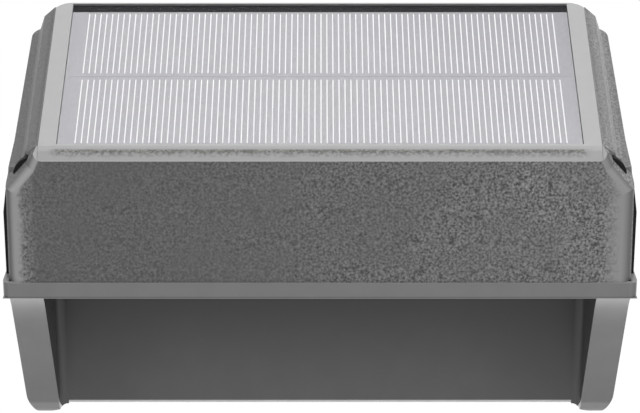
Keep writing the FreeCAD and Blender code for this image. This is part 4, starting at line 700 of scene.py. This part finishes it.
SPRING_TURNS = 4.0
SPRING_WIRE = 0.0002
TURN_STEPS = 24
WIRE_SIDES = 10
spring_tree, sizes = new_tree("return_spring", Turns="Float", Radius="Float", Wire="Float",
                              Height="Float")
coil = added(spring_tree, "GeometryNodeCurveSpiral", Resolution=TURN_STEPS, Rotations=sizes["Turns"],
             Start_Radius=sizes["Radius"], End_Radius=sizes["Radius"], Height=sizes["Height"])
wire_round = added(spring_tree, "GeometryNodeCurvePrimitiveCircle", Resolution=WIRE_SIDES,
                   Radius=sizes["Wire"])
wound = added(spring_tree, "GeometryNodeCurveToMesh", Curve=coil.outputs[0],
              Profile_Curve=wire_round.outputs[0], Fill_Caps=True)
finish_tree(spring_tree, wound.outputs[0], plated_steel)
plunger_low, plunger_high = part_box("button_plunger")
low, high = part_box("button_spring")
spring = grown("return_spring", bpy.data.meshes.new("spring"), spring_tree,
               {"Turns": SPRING_TURNS, "Radius": (high.x - low.x) / 2 - SPRING_WIRE,
                "Wire": SPRING_WIRE, "Height": high.z - low.z - 2 * SPRING_WIRE},
               "housing")
spring_foot = (plunger_low + plunger_high) / 2
spring_foot.z = low.z + SPRING_WIRE
for vertex in spring.data.vertices:
    vertex.co += spring_foot
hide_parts("button_spring")
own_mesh(spring)

# ---------------------------------------------------------------------------------------------
# Screws: plated steel with a cross recess. Four pan heads hold the cover from below, the front
# pair sunk in the bay's ceiling, and four countersunk ones hold the back plate.

SCREW_RADIUS = 0.0013
HEAD_RADIUS = 0.0027
PAN_HEIGHT = 0.0015
COVER_SCREW_LENGTH = 0.012
BACK_SCREW_LENGTH = 0.008
CROSS_ARM = 0.55
CROSS_WIDTH = 0.16
CROSS_DEPTH = 0.6
CROSS_TAPER = 0.8
RING = 20


def screw_mesh(name, head_height, length, flat):
    """A screw whose head's outer face is z = 0 and whose shank runs along +Z."""
    shape = bmesh.new()
    outer = [(HEAD_RADIUS, 0.0)]
    if not flat:
        outer.append((HEAD_RADIUS, head_height))
    outer += [(SCREW_RADIUS, head_height), (SCREW_RADIUS, length)]
    rings = []
    for radius, height in outer:
        rings.append([shape.verts.new((radius * math.cos(2 * math.pi * step / RING),
                                       radius * math.sin(2 * math.pi * step / RING), height))
                      for step in range(RING)])
    arm, width = HEAD_RADIUS * CROSS_ARM, HEAD_RADIUS * CROSS_WIDTH
    quarter = [(arm, -width), (arm, width), (width, width)]
    outline = []
    for _ in range(4):
        outline += quarter
        quarter = [(-y, x) for x, y in quarter]
    mouth = [shape.verts.new((x, y, 0)) for x, y in outline]
    depth = head_height * CROSS_DEPTH
    floor_ring = [shape.verts.new((x * CROSS_TAPER, y * CROSS_TAPER, depth)) for x, y in outline]
    for near, far in [*zip(rings, rings[1:]), (mouth, floor_ring)]:
        for step in range(len(near)):
            following = (step + 1) % len(near)
            shape.faces.new((near[step], near[following], far[following], far[step]))
    shape.faces.new(rings[-1])
    shape.faces.new(floor_ring)
    rim = [edge for edge in shape.edges if edge.is_boundary]
    bmesh.ops.triangle_fill(shape, edges=rim, use_beauty=True)
    bmesh.ops.recalc_face_normals(shape, faces=shape.faces)
    mesh = bpy.data.meshes.new(name)
    shape.to_mesh(mesh)
    shape.free()
    return mesh


screw_tree, sizes = new_tree("screw_group", Spacing_X="Float", Spacing_Y="Float")
seats = added(screw_tree, "GeometryNodeMeshGrid", Size_X=sizes["Spacing X"], Size_Y=sizes["Spacing Y"],
              Vertices_X=2, Vertices_Y=2)
seated = added(screw_tree, "GeometryNodeInstanceOnPoints", seats.outputs[0],
               Instance=sizes["Geometry"])
finish_tree(screw_tree, seated.outputs[0], plated_steel)

low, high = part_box("cover_screws")
cover_screw = screw_mesh("cover_screw", PAN_HEIGHT, PAN_HEIGHT + COVER_SCREW_LENGTH, flat=False)
cover_screws = grown("cover_screw_set", cover_screw, screw_tree,
                     {"Spacing X": high.x - low.x - 2 * HEAD_RADIUS,
                      "Spacing Y": high.y - low.y - 2 * HEAD_RADIUS}, "housing")
middle_y = (low.y + high.y) / 2
for vertex in cover_screws.data.vertices:
    sunk = PAN_HEIGHT if vertex.co.y < 0 else 0
    vertex.co += Vector((0, middle_y, low.z + sunk))
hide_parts("cover_screws")

low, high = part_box("back_screws")
back_screw = screw_mesh("back_screw", HEAD_RADIUS - SCREW_RADIUS, BACK_SCREW_LENGTH, flat=True)
back_screws = grown("back_screw_set", back_screw, screw_tree,
                    {"Spacing X": high.x - low.x - 2 * HEAD_RADIUS,
                     "Spacing Y": high.z - low.z - 2 * HEAD_RADIUS}, "housing")
middle_z = (low.z + high.z) / 2
for vertex in back_screws.data.vertices:
    x, up, inward = vertex.co
    vertex.co = Vector((x, -inward, middle_z + up))
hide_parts("back_screws")
